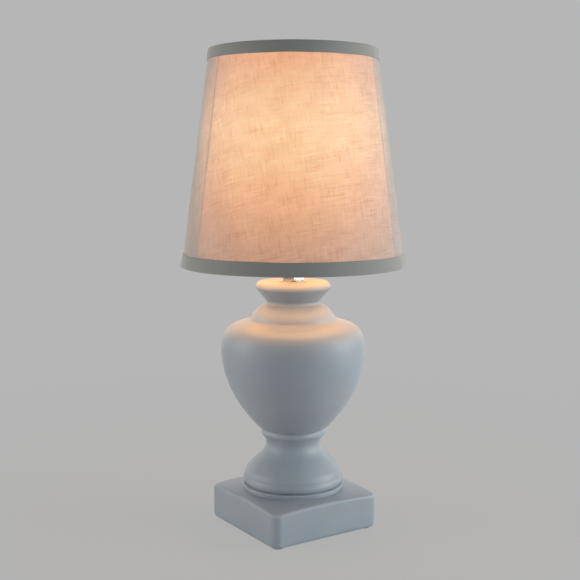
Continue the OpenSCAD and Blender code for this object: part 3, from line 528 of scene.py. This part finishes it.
def flat_panels(tree):
    """The way the cloth faces: a little flatter from one upright of the frame to the next."""
    azimuth, _ = round_axis(tree)
    panel = 2 * math.pi / UPRIGHTS
    past_middle = add_node(tree, "Math", [azimuth, panel / 2, -panel / 2], operation="WRAP")
    turned = add_node(
        tree, "Math", [past_middle, -PANEL_FLATNESS, azimuth], operation="MULTIPLY_ADD")
    across = [add_node(tree, "Math", [turned], operation=way) for way in ("COSINE", "SINE")]
    facing = add_node(tree, "CombineXYZ", [*across, shade_cone().fall])
    return add_node(
        tree, "VectorTransform", [facing],
        vector_type="NORMAL", convert_from="OBJECT", convert_to="WORLD")


def lamp_glow(tree, colours, facing):
    """Colour of the lamp's light through the cloth, painted as the cloth's glow: fullest level with
    the bulb and deeper away from it, with painted shade where the cloth is seen edge on through its
    fuzz, and painted shadows of the frame's uprights."""
    azimuth, z = round_axis(tree)
    low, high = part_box("shade_cover")
    height = add_node(tree, "MapRange", [z, low.z, high.z, 0.0, 1.0])
    # How edge on the cloth is, from its flattened panels: it dims the painted glow, with a step at
    # each upright
    edge_on = add_node(tree, "LayerWeight", {"Blend": 0.5, "Normal": facing}).outputs["Facing"]
    over_bulb = add_node(tree, "Math", [height, BULB_LEVEL], operation="SUBTRACT")
    off_bulb = add_node(tree, "Math", [over_bulb], operation="ABSOLUTE")
    fuzz = add_node(tree, "Math", [off_bulb, FUZZ_OFF_BULB, edge_on], operation="MULTIPLY_ADD")
    turn = add_node(tree, "Math", [azimuth, math.pi / UPRIGHTS], operation="SUBTRACT")
    phase = add_node(tree, "Math", [turn, UPRIGHTS / 2], operation="MULTIPLY")
    aside = add_node(tree, "Math", [phase], operation="SINE")
    off_wire = add_node(tree, "Math", [aside], operation="ABSOLUTE")
    levels = dict(zip(GLOW_LEVELS, (
        colours.linen_glow_low, colours.linen_glow_deep,
        colours.linen_glow, colours.linen_glow_top)))
    ramps = []
    for value, stops, run in (
            (height, levels, "CARDINAL"),
            (fuzz, FUZZ_SHARES, "LINEAR"),
            (off_wire, WIRE_SHADOW_SHARES, "LINEAR")):
        ramps.append(add_node(tree, "ValToRGB", [value]))
        bar = ramps[-1].color_ramp
        bar.interpolation = run
        while len(bar.elements) < len(stops):
            bar.elements.new(1.0)
        for element, (at, shown) in zip(bar.elements, stops.items()):
            element.position = at
            element.color = (*shown[:3], 1.0)
    light = ramps[0]
    for ramp in ramps[1:]:
        light = add_node(
            tree, "Mix", [1.0, light, ramp], data_type="RGBA", blend_type="MULTIPLY")
    return light


def styrene_film(colours):
    """White styrene film, calendered: a slight gloss, with the faint ripple of the roll."""
    material, tree = new_material("styrene_film")
    ripple = grains(tree, add_node(tree, "TexCoord").outputs["Object"], size_mm=14)
    bump = add_node(tree, "Bump", {"Height": ripple, "Strength": 0.2, "Distance": 0.2 * MM})
    skin = add_node(tree, "BsdfPrincipled", {
        "Base Color": colours.lining, "Roughness": 0.38, "Normal": bump})
    add_node(tree, "OutputMaterial", [skin])
    return material


# How dark the trim tape is between the threads of its nap
TAPE_DULL = 0.78


def woven_tape(colours):
    """Woven ribbon tape: matt grey with an uneven nap, paler where it is seen edge on."""
    material, tree = new_material("woven_tape")
    flat = add_node(tree, "Attribute", attribute_name="flat_place").outputs["Vector"]
    nap = grains(tree, flat, size_mm=(0.8, 0.8, 1.0))
    paler = add_node(tree, "MapRange", {"Value": nap, "From Min": 0.5, "To Max": 0.75})
    dull = dulled(colours.tape, TAPE_DULL)
    cloth = add_node(tree, "Mix", [paler, dull, colours.tape], data_type="RGBA")
    bump = add_node(tree, "Bump", {"Height": nap, "Strength": 0.4, "Distance": 0.09 * MM})
    surface = add_node(tree, "BsdfPrincipled", {
        "Base Color": cloth, "Roughness": 0.85, "Sheen Weight": 0.6, "Sheen Roughness": 0.4,
        "Normal": bump})
    add_node(tree, "OutputMaterial", [surface])
    return material


# Metals: their colour, their roughness, and the grain of their handling marks in mm. Where they
# are marked, they are rougher by METAL_WEAR
METAL_WEAR = 0.1
METALS = {
    # Chrome on polished steel: a bright mirror, hardly marked
    "chrome_plate": ("chrome", 0.13, 1.5),
    # Zinc plated in a barrel: grey and half dull
    "zinc_plate": ("zinc", 0.35, 0.5),
    # Brass as it leaves the lathe: warm and bright under fine marks
    "turned_brass": ("brass", 0.25, 0.4),
    # Nickel on rolled sheet: a soft mirror
    "nickel_plate": ("zinc", 0.22, 0.6),
}


def metal(name, colours):
    """A plated or turned metal: mirror-like under fine handling marks."""
    tint, rough, marks_mm = METALS[name]
    material, tree = new_material(name)
    marks = grains(tree, add_node(tree, "TexCoord").outputs["Object"], marks_mm, detail=3)
    worn = add_node(tree, "MapRange", [marks, LOW, HIGH, rough, rough + METAL_WEAR])
    bump = add_node(tree, "Bump", {"Height": marks, "Strength": 0.1, "Distance": 0.02 * MM})
    shader = add_node(tree, "BsdfPrincipled", {
        "Base Color": getattr(colours, tint), "Metallic": 1.0, "Roughness": worn, "Normal": bump})
    add_node(tree, "OutputMaterial", [shader])
    return material


# Moulded, coated and pressed finishes: their colour, roughness, and grain and its depth in mm.
# The grain makes them rougher by MOULDING_WEAR, and clouds of a size in mm dull them to a share
MOULDING_WEAR = 0.08
CLOUD_MM = 12
CLOUD_DULL = 0.93
MOULDINGS = {
    # Nylon, injection moulded: dark and half matt, with the tool's fine grain
    "nylon_bush": ("bush", 0.5, 0.4, 0.02),
    # Felt, pressed: no gloss, and a deep short nap
    "pressed_felt": ("felt", 0.9, 0.5, 0.15),
    # Powder coat, sprayed and baked: half matt, with a slight orange peel
    "powder_coat": ("frame", 0.45, 0.5, 0.03),
    # Urea thermoset, pressed in a hot tool: even and glossy
    "thermoset": ("holder", 0.28, 0.8, 0.02),
    # Black glass, pressed into the cap: smooth and glossy
    "black_glass": ("insulator", 0.1, 0.8, 0.01),
    # Soda-lime glass, drawn and pinched: smooth, and as pale as the glass round it
    "clear_stem_glass": ("opal", 0.1, 1.0, 0.01),
    # Phosphor resin, poured over the light strips: yellow and matt
    "phosphor": ("brass", 0.6, 0.4, 0.02),
}


def moulding(name, colours):
    """A moulded, coated or pressed surface with an even fine grain."""
    tint, rough, grain_mm, depth_mm = MOULDINGS[name]
    tint = getattr(colours, tint)
    material, tree = new_material(name)
    place = add_node(tree, "TexCoord").outputs["Object"]
    grain = grains(tree, place, grain_mm, detail=3)
    clouded = add_node(tree, "MapRange", [grains(tree, place, CLOUD_MM), LOW, HIGH, 0.0, 1.0])
    skin = add_node(tree, "Mix", [clouded, dulled(tint, CLOUD_DULL), tint], data_type="RGBA")
    worn = add_node(tree, "MapRange", [grain, LOW, HIGH, rough, rough + MOULDING_WEAR])
    bump = add_node(tree, "Bump", {"Height": grain, "Strength": 0.3, "Distance": depth_mm * MM})
    shader = add_node(tree, "BsdfPrincipled", {
        "Base Color": skin, "Roughness": worn, "Normal": bump})
    add_node(tree, "OutputMaterial", [shader])
    return material


def lit_opal_glass(colours, light):
    """Blown opal glass with the lamp on: an even warm white glow under a polished skin."""
    material, tree = new_material("lit_opal_glass")
    cloud = grains(tree, add_node(tree, "TexCoord").outputs["Object"], size_mm=10)
    clouded = add_node(tree, "MapRange", [cloud, LOW, HIGH, 0.0, 0.25])
    glow = add_node(tree, "Mix", [clouded, colours.bulb_light, colours.opal], data_type="RGBA")
    shader = add_node(tree, "BsdfPrincipled", {
        "Base Color": colours.opal, "Roughness": 0.15, "IOR": 1.52,
        "Emission Color": glow, "Emission Strength": light.bulb_look})
    add_node(tree, "OutputMaterial", [shader])
    return material


# Stage

# The camera, fitted to the photograph: pixels are of its 580 by 580 frame
IMAGE_PX = 580
CAMERA_FOCAL_PX = 1020.9
AXIS_PX = 293.17
CAMERA_AZIMUTH = 33.6
CAMERA_PITCH = 6.96
CAMERA_DISTANCE = 681.1 * MM
CAMERA_HEIGHT = 244.4 * MM
SENSOR_MM = 36.0

# Soft boxes: azimuth from the camera and elevation in degrees, and tint
SOFT_BOXES = {
    "key": (85, 10, (1.0, 0.97, 0.92)),
    "cool": (60, 10, (0.35, 0.93, 1.0)),
    "key_rim": (140, 10, (1.0, 0.96, 0.78)),
    "fill": (-85, 10, (0.97, 1.0, 0.91)),
    "fill_rim": (-145, 10, (1.0, 0.85, 0.7)),
    "back": (180, 28, (1.0, 0.98, 1.0)),
}

# Their distance, and their width and height, in metres
BOX_DISTANCE = 0.9
BOX_SIZE = (0.5, 1.0)

# The ring of even light: its tint, the sine of its middle's elevation, and half its height
RING_TINT = (1.0, 0.98, 1.0, 1.0)
RING_RISE = 0.16
RING_HALF = 0.06

# Discs of lamplight: one in the shade's lower opening, and one level with the bulb's lower end
SPILL_RADIUS = 60 * MM
GLOW_RADIUS = 40 * MM

# The bulb's light comes from a ball inside the globe, as a share of the globe's radius
BULB_LIGHT_SHARE = 0.8

# The floor's rings in metres, and the points round each
FLOOR_RADII = (0.01, 0.2, 0.5, 1.2, 3.0)
FLOOR_STEPS = 96

# Where the floor starts and ends its change into the plain background, in metres from the lamp,
# and how plain it is near the lamp
FLOOR_NEAR = 0.12
FLOOR_FAR = 0.6
FLOOR_PLAIN_SHARE = 0.85


def studio_place(azimuth, elevation, distance):
    """A point round the lamp: azimuth 0 is at the camera and grows to the right, in degrees."""
    a = math.radians(azimuth - 90 - CAMERA_AZIMUTH)
    e = math.radians(elevation)
    way = Vector((math.cos(a) * math.cos(e), math.sin(a) * math.cos(e), math.sin(e)))
    return way * distance


def add_light(name, kind, place, power, tint, body=None):
    """A light that the camera doesn't see, which moves with a body of the lamp if one is given."""
    data = bpy.data.lights.new(name, kind)
    data.energy = power
    data.color = tint[:3]
    light = bpy.data.objects.new(name, data)
    light.location = place
    light.visible_camera = False
    bpy.context.scene.collection.objects.link(light)
    if body:
        light.parent = frame["bodies"][body]
    return light


def soft_box(name, azimuth, elevation, power, tint):
    """A tall soft box that faces the lamp."""
    aim = Vector((0, 0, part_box("ceramic_body")[1].z / 2))
    place = aim + studio_place(azimuth, elevation, BOX_DISTANCE)
    box = add_light(name, "AREA", place, power, tint)
    box.data.shape = "RECTANGLE"
    box.data.size, box.data.size_y = BOX_SIZE
    box.rotation_euler = (aim - place).to_track_quat("-Z", "Y").to_euler()


def down_disc(name, body, z, radius, power, tint):
    """A round light on the lamp's axis that faces down: the lit inside of the shade, as the base
    sees it."""
    disc = add_light(name, "AREA", (0, 0, z), power, tint, body)
    disc.data.shape = "DISK"
    disc.data.size = 2 * radius


class LAMP_OT_stage(Operator):
    """Sets the camera, the floor, the background and the studio lights"""

    bl_idname = "lamp.stage"
    bl_label = "Stage and lights"

    def execute(self, context):
        scene = context.scene
        colours, light = scene.lamp_colours, scene.lamp_light
        scene.view_settings.view_transform = "Standard"
        self.make_camera(scene)
        self.make_floor(colours)
        self.make_world(scene, colours, light)
        self.make_lights(colours, light)
        return {"FINISHED"}

    def make_camera(self, scene):
        """The camera at the photograph's place and angle."""
        data = bpy.data.cameras.new("camera")
        data.sensor_width = SENSOR_MM
        data.lens = CAMERA_FOCAL_PX / IMAGE_PX * SENSOR_MM
        camera = bpy.data.objects.new("camera", data)
        scene.collection.objects.link(camera)
        scene.camera = camera
        camera.location = studio_place(0, 0, CAMERA_DISTANCE) + Vector((0, 0, CAMERA_HEIGHT))
        aside = math.atan((AXIS_PX - IMAGE_PX / 2) / CAMERA_FOCAL_PX)
        camera.rotation_euler = (
            math.radians(90 - CAMERA_PITCH), 0, math.radians(-CAMERA_AZIMUTH) + aside)

    def make_floor(self, colours):
        """A pale floor that keeps the lamp's shadow near it, runs into the background further off,
        and sends its own light back to the lamp."""
        turns = full_turn(FLOOR_STEPS)
        floor = mesh_from_loops("floor", [ring(radius, turns, 0) for radius in FLOOR_RADII])
        material, tree = new_material("floor_paint")
        place = add_node(tree, "TexCoord").outputs["Object"]
        away = add_node(tree, "VectorMath", [place], operation="LENGTH")
        far = add_node(tree, "MapRange", [away, FLOOR_NEAR, FLOOR_FAR, FLOOR_PLAIN_SHARE, 1.0])
        seen = add_node(tree, "LightPath").outputs["Is Camera Ray"]
        plain = add_node(tree, "Emission", [colours.floor, 1.0])
        tint = add_node(
            tree, "Mix", [seen, colours.floor_bounce, colours.floor], data_type="RGBA")
        lit = add_node(tree, "BsdfDiffuse", [tint])
        share = add_node(tree, "Math", [seen, far], operation="MULTIPLY")
        both = add_node(tree, "MixShader", [share, lit, plain])
        add_node(tree, "OutputMaterial", [both])
        floor.data.materials.append(material)

    def make_world(self, scene, colours, light):
        """The background that the camera, gloss and glass see, and the ring of even light."""
        world = bpy.data.worlds.new("studio")
        scene.world = world
        world.use_nodes = True
        world.cycles.sampling_method = "NONE"
        tree = world.node_tree
        tree.nodes.clear()
        rays = add_node(tree, "LightPath").outputs
        seen = rays["Is Camera Ray"]
        for other in ("Is Glossy Ray", "Is Transmission Ray"):
            seen = add_node(tree, "Math", [seen, rays[other]], operation="MAXIMUM")
        place = add_node(tree, "TexCoord").outputs["Generated"]
        way = add_node(tree, "SeparateXYZ", [place]).outputs
        rise = add_node(tree, "Math", [way["Z"], RING_RISE], operation="SUBTRACT")
        off_ring = add_node(tree, "Math", [rise], operation="ABSOLUTE")
        level = add_node(
            tree, "MapRange", [off_ring, RING_HALF, 2 * RING_HALF, light.ambient, 0.0])
        even = add_node(tree, "Background", [RING_TINT, level])
        shown = add_node(tree, "Background", [colours.floor, 1.0])
        both = add_node(tree, "MixShader", [seen, even, shown])
        add_node(tree, "OutputWorld", [both])

    def make_lights(self, colours, light):
        """Soft boxes at both sides and behind, the bulb, and what falls out under the shade."""
        for name, (azimuth, elevation, tint) in SOFT_BOXES.items():
            soft_box(name + "_light", azimuth, elevation, getattr(light, name), tint)
        low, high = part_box("bulb_glass")
        globe_r = (high.x - low.x) / 2
        bulb = add_light(
            "bulb_light", "POINT", (0, 0, high.z - globe_r), light.bulb, colours.bulb_light,
            "bulb_envelope")
        bulb.data.shadow_soft_size = globe_r * BULB_LIGHT_SHARE
        down_disc(
            "spill_light", "shade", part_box("fitter_arms")[0].z, SPILL_RADIUS,
            light.spill, colours.spill_light)
        down_disc(
            "glow_light", "bulb_envelope", high.z - 2 * globe_r, GLOW_RADIUS,
            light.glow, colours.glow_light)


# Ceramic base

# How finely it is divided: the spacing of points along its turned outline and along the plinth's
# edges, the rows across the plinth's top, and the rows up the recess's walls
OUTLINE_STEP = 0.6 * MM
EDGE_STEP = 0.9 * MM
TOP_ROWS = 11
WALL_ROWS = 7

# The least corner radius of the plinth's loops, as a share of the recess's corner radius
LEAST_CORNER = 0.2

# How far the cord bush's flanges reach past its hole
BUSH_LIP = 1.1 * MM

# The points round the drill, and the share of its radius at which its end faces start
DRILL_STEPS = 48
DRILL_CORE = 0.01

# Edges of the ceramic that turn by more than this stay crisp
SHARP_ANGLE = math.radians(55)


class LAMP_OT_base(Operator):
    """Builds the glazed ceramic base with its recess, pads and cord bush"""

    bl_idname = "lamp.base"
    bl_label = "Ceramic base"

    def execute(self, context):
        ceramic, colours = context.scene.lamp_ceramic, context.scene.lamp_colours
        base_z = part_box("ceramic_body")[0].z
        # Each pass spreads a corner by a step over the root of 2, and their squares add up
        passes = round(2 * (ceramic.glaze_soft / OUTLINE_STEP) ** 2)
        turned = turned_outline(ceramic, base_z + ceramic.plinth_h)
        turned = soften(turned, OUTLINE_STEP, passes)
        side = rounded_square(ceramic.plinth_w / 2, ceramic.corner_r)
        side_r = np.linalg.norm(side, axis=1)
        ways = side / side_r[:, None]
        base = mesh_from_loops("glazed_base", [
            *self.recess_loops(ceramic, base_z, ways),
            *self.plinth_loops(ceramic, base_z, ways, side_r, turned[0][0], passes),
            *[at_height(ways * radius, z) for radius, z in turned],
        ], closed=True)
        self.drill_inlet(base)
        paint(base, glazed_earthenware(colours))
        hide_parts("ceramic_body")
        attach(base, "stand")
        dress(moulding("nylon_bush", colours), "cord_bush")
        dress(moulding("pressed_felt", colours), "foot_pads")
        return {"FINISHED"}

    def recess_loops(self, c, base_z, ways):
        """The recess underneath, from the pipe hole in its ceiling down to the rim."""
        recess_z = base_z + c.recess_h
        wall = rounded_square(c.plinth_w / 2 - c.rim_w, c.recess_corner_r)
        heights = np.linspace(recess_z, base_z + c.break_h, WALL_ROWS + 1)
        return [at_height(ways * c.hole_r, recess_z), *[at_height(wall, z) for z in heights]]

    def plinth_loops(self, c, base_z, ways, side_r, foot_r, passes):
        """The plinth's rim, sides and top. The top falls from the foot to the sides, and most
        towards the corners, and the sides under it shrink in proportion."""
        half, top_z = c.plinth_w / 2, base_z + c.plinth_h
        bottom, top = c.bottom_edge_r, c.top_edge_r
        edge = soften([
            (c.rim_w, base_z),
            *arc((bottom, base_z + bottom), bottom, 270, 180),
            *arc((top, top_z - top), top, 180, 90),
            (top + c.break_h, top_z),
        ], EDGE_STEP, passes)
        least_r = c.recess_corner_r * LEAST_CORNER
        loops = [
            at_height(rounded_square(half - inset, max(c.corner_r - inset, least_r)), z)
            for inset, z in edge
        ]
        rim, foot = loops[-1], at_height(ways * foot_r, top_z)
        loops += [rim * (1 - t) + foot * t for t in np.linspace(0, 1, TOP_ROWS + 1)[1:]]
        corner = ((side_r - half) / (side_r.max() - half)) ** 2
        side_fall = c.top_fall + c.corner_fall * corner
        for loop in loops:
            way = (np.linalg.norm(loop[:, :2], axis=1) - foot_r) / (side_r - foot_r)
            up = (loop[:, 2] - base_z) / c.plinth_h
            loop[:, 2] -= (c.top_step + side_fall * way) * up
        return loops

    def drill_inlet(self, base):
        """Cuts the hole that the cord bush sits in."""
        low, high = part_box("cord_bush")
        middle_z = (low.z + high.z) / 2
        radius = (high.z - low.z) / 2 - BUSH_LIP
        back, front = high.y + BUSH_LIP, low.y - BUSH_LIP
        turns = full_turn(DRILL_STEPS)
        across, up = radius * np.cos(turns), radius * np.sin(turns)
        drill = mesh_from_loops("drill", [
            np.column_stack([across * share, np.full(DRILL_STEPS, y), middle_z + up * share])
            for share, y in ((DRILL_CORE, back), (1, back), (1, front), (DRILL_CORE, front))
        ], closed=True)
        cut = base.modifiers.new("inlet", "BOOLEAN")
        cut.operation = "DIFFERENCE"
        cut.solver = "EXACT"
        cut.object = drill
        apply_modifiers(base)
        base.data.shade_smooth()
        base.data.set_sharp_from_angle(angle=SHARP_ANGLE)
        bpy.data.objects.remove(drill)


# Fabric shade

# Radius of the shade's upper edge, over the trim
TOP_RADIUS = 55.6 * MM

# Where the weft runs level, and where the cover's ends overlap, as azimuths of the lamp
WEAVE_LEVEL = math.radians(-48.6)
SEAM = math.radians(130)

# How finely the cloth is divided: steps round it, and rows up it
COVER_STEPS = (300, 61)
LINING_STEPS = (288, 31)
TAPE_STEPS = 360
TAPE_ROWS = 8

# The turn in which the cover's last end climbs on its first
LAP_CLIMB = math.radians(1.5)

# Gap between the lining and the tape folded over it
FOLD_GAP = 0.1 * MM

# How far the tape's glued edge wanders, its waves round the shade with where each starts, and the
# share of the tape's height below which it stays straight
TAPE_WANDER = 0.12 * MM
TAPE_WAVES = ((7, 1.0), (13, 2.3))
TAPE_STRAIGHT = 0.8


class Cone(NamedTuple):
    """The shade's outer face: its heights, its lower radius, and its fall of radius per metre."""

    low_z: float
    high_z: float
    bottom_r: float
    fall: float

    def radius(self, z):
        """Radius of the face at a height."""
        return self.bottom_r - (z - self.low_z) * self.fall

    def slant(self):
        """Length along the face for each metre of height."""
        return math.sqrt(1 + self.fall**2)

    def turn_share(self):
        """What the cloth keeps of its turn round the axis when it lies flat."""
        return self.fall / self.slant()


def shade_cone():
    """The cone of the shade, from the boxes of its two trims."""
    low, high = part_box("low_trim"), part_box("top_trim")
    low_z, high_z = low[0].z, high[1].z
    bottom_r = (low[1].x - low[0].x) / 2
    return Cone(low_z, high_z, bottom_r, (bottom_r - TOP_RADIUS) / (high_z - low_z))


def flat_place(piece, turns, points, cone):
    """Stores where each point lies on the flat cloth before it was rolled, along and across the
    weft."""
    apex_r = cone.bottom_r / cone.turn_share()
    away = apex_r - (points[:, 2] - cone.low_z) * cone.slant()
    angle = (turns - WEAVE_LEVEL) * cone.turn_share()
    along, across = away * np.sin(angle), apex_r - away * np.cos(angle)
    flat = np.column_stack([along, across, np.zeros(len(points))])
    attribute = piece.data.attributes.new("flat_place", "FLOAT_VECTOR", "POINT")
    attribute.data.foreach_set("vector", flat.astype(np.float32).ravel())


class LAMP_OT_shade(Operator):
    """Builds the linen cover, its film lining and the tape on both edges"""

    bl_idname = "lamp.shade"
    bl_label = "Fabric shade"

    def execute(self, context):
        shade, colours = context.scene.lamp_shade, context.scene.lamp_colours
        cone = shade_cone()
        tape = woven_tape(colours)
        low_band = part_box("low_trim")[1].z - cone.low_z
        top_band = cone.high_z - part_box("top_trim")[0].z
        trims = [
            self.make_trim("low_tape", "low_trim", cone, cone.low_z, low_band, 1, shade, tape),
            self.make_trim("top_tape", "top_trim", cone, cone.high_z, top_band, -1, shade, tape),
        ]
        cover = self.make_cover(cone, shade, colours)
        lining = self.make_lining(cone, shade, colours)
        for piece in [cover, lining] + trims:
            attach(piece, "shade")
        low_r = (cone.bottom_r - shade.cover_in) / cone.turn_share()
        top_r = (TOP_RADIUS - shade.cover_in) / cone.turn_share()
        angle = (2 * math.pi + shade.seam_w / cone.bottom_r) * cone.turn_share()
        return {"FINISHED"}

    def make_cover(self, cone, shade, colours):
        """The linen as one sheet, whose last end lies on its first."""
        steps, rows = COVER_STEPS
        past_seam = np.linspace(0, 2 * math.pi + shade.seam_w / cone.bottom_r, steps + 1)
        lift = np.clip((past_seam - 2 * math.pi) / LAP_CLIMB + 1, 0, 1) * shade.tape_t
        turns = past_seam + SEAM
        loops = [
            ring(cone.radius(z) - shade.cover_in + lift, turns, z)
            for z in np.linspace(cone.low_z + shade.tape_t, cone.high_z - shade.tape_t, rows)
        ]
        cover = mesh_from_loops("linen_cover", loops, round_loops=False)
        around = np.tile(turns - 2 * math.pi, rows)
        flat_place(cover, around, np.concatenate(loops), cone)
        paint(cover, plain_linen(colours, shade))
        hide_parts("shade_cover")
        return cover

    def make_lining(self, cone, shade, colours):
        """The film behind the linen."""
        steps, rows = LINING_STEPS
        turns = full_turn(steps)
        lining = mesh_from_loops("film_lining", [
            ring(cone.radius(z) - shade.lining_in, turns, z)
            for z in np.linspace(cone.low_z + shade.tape_t, cone.high_z - shade.tape_t, rows)
        ])
        paint(lining, styrene_film(colours))
        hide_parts("shade_lining")
        return lining

    def make_trim(self, name, node, cone, edge, band, side, shade, material):
        """Tape folded over an edge of the shade: side is 1 upwards and -1 downwards."""
        turns = full_turn(TAPE_STEPS)
        t, fold = shade.tape_t, shade.tape_fold
        inner = shade.lining_in + FOLD_GAP
        # Its section, as the inset from the cone and the way up from the shade's edge
        section = [
            (t * 0.9, band), (t * 0.35, band), (0, band - t * 0.5),
            *[(0, up) for up in np.linspace(band - t, t, TAPE_ROWS)],
            (t * 0.3, t * 0.3), (t, 0), (inner + t * 0.2, 0),
            (inner + t, t), (inner + t, fold), (inner, fold), (inner, t), (t * 0.9, t),
        ]
        waves = sum(np.sin(turns * count + start) for count, start in TAPE_WAVES)
        wander = TAPE_WANDER * waves / len(TAPE_WAVES)
        loops = []
        for inset, up in section:
            z = edge + side * (up + wander * (up > band * TAPE_STRAIGHT))
            loops.append(ring(cone.radius(z) - inset, turns, z))
        trim = mesh_from_loops(name, loops, closed=True)
        flat_place(trim, np.tile(turns, len(section)), np.concatenate(loops), cone)
        paint(trim, material)
        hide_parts(node)
        return trim


# Shade frame, lampholder and bulb


class LAMP_OT_shade_frame(Operator):
    """Coats the wire frame that carries the shade"""

    bl_idname = "lamp.shade_frame"
    bl_label = "Shade frame"

    def execute(self, context):
        coat = moulding("powder_coat", context.scene.lamp_colours)
        dress(
            coat, "fitter_hub", "fitter_arms", "low_wire_ring", "top_wire_ring", "frame_uprights")
        return {"FINISHED"}


class LAMP_OT_lampholder(Operator):
    """Finishes the lampholder, its contacts, the ring that clamps the shade, and the fixings"""

    bl_idname = "lamp.lampholder"
    bl_label = "Lampholder"

    def execute(self, context):
        colours = context.scene.lamp_colours
        dress(
            moulding("thermoset", colours),
            "holder_cap", "holder_skirt", "holder_insert", "shade_clamp_ring")
        dress(
            metal("turned_brass", colours),
            "terminal_blocks", "screw_shell", "centre_contact", "lamp_pipe")
        dress(
            metal("zinc_plate", colours),
            "terminal_screws", "holder_lock_screw", "bottom_plate", "lock_washer", "bottom_nut")
        dress(metal("chrome_plate", colours), "neck_washer", "neck_nut")
        return {"FINISHED"}


class LAMP_OT_bulb(Operator):
    """Finishes the lit bulb with its screw cap"""

    bl_idname = "lamp.bulb"
    bl_label = "Bulb"

    def execute(self, context):
        colours, light = context.scene.lamp_colours, context.scene.lamp_light
        dress(lit_opal_glass(colours, light), "bulb_glass")
        frame["nodes"]["bulb_glass"].visible_shadow = False
        dress(metal("nickel_plate", colours), "bulb_cap", "bulb_contact")
        dress(moulding("black_glass", colours), "bulb_insulator")
        dress(moulding("clear_stem_glass", colours), "bulb_stem")
        dress(moulding("phosphor", colours), "bulb_filaments")
        return {"FINISHED"}


# Add-on

GROUPS = {
    "lamp_ceramic": LAMP_PG_ceramic,
    "lamp_shade": LAMP_PG_shade,
    "lamp_colours": LAMP_PG_colours,
    "lamp_light": LAMP_PG_light,
}
OPERATORS = [
    LAMP_OT_stage, LAMP_OT_base, LAMP_OT_shade, LAMP_OT_shade_frame, LAMP_OT_lampholder,
    LAMP_OT_bulb,
]


class LAMP_PT_panel(Panel):
    """Lists the lamp's pieces, sizes and colours"""

    bl_idname = "LAMP_PT_panel"
    bl_label = "Ceramic table lamp"
    bl_space_type = "VIEW_3D"
    bl_region_type = "UI"
    bl_category = "Lamp"

    def draw(self, context):
        for operator in OPERATORS:
            self.layout.operator(operator.bl_idname)
        for name, group in GROUPS.items():
            box = self.layout.box()
            for setting in group.__annotations__:
                box.prop(getattr(context.scene, name), setting)


def register():
    """Adds the lamp's settings, operators and panel."""
    for name, group in GROUPS.items():
        bpy.utils.register_class(group)
        setattr(bpy.types.Scene, name, PointerProperty(type=group))
    for item in OPERATORS + [LAMP_PT_panel]:
        bpy.utils.register_class(item)


def unregister():
    """Takes them away again."""
    for item in [LAMP_PT_panel] + OPERATORS[::-1]:
        bpy.utils.unregister_class(item)
    for name, group in GROUPS.items():
        delattr(bpy.types.Scene, name)
        bpy.utils.unregister_class(group)


def main():
    """Builds the lamp."""
    register()
    bpy.ops.lamp.stage()
    bpy.ops.lamp.base()
    bpy.ops.lamp.shade()
    bpy.ops.lamp.shade_frame()
    bpy.ops.lamp.lampholder()
    bpy.ops.lamp.bulb()


if __name__ == "__main__":
    main()
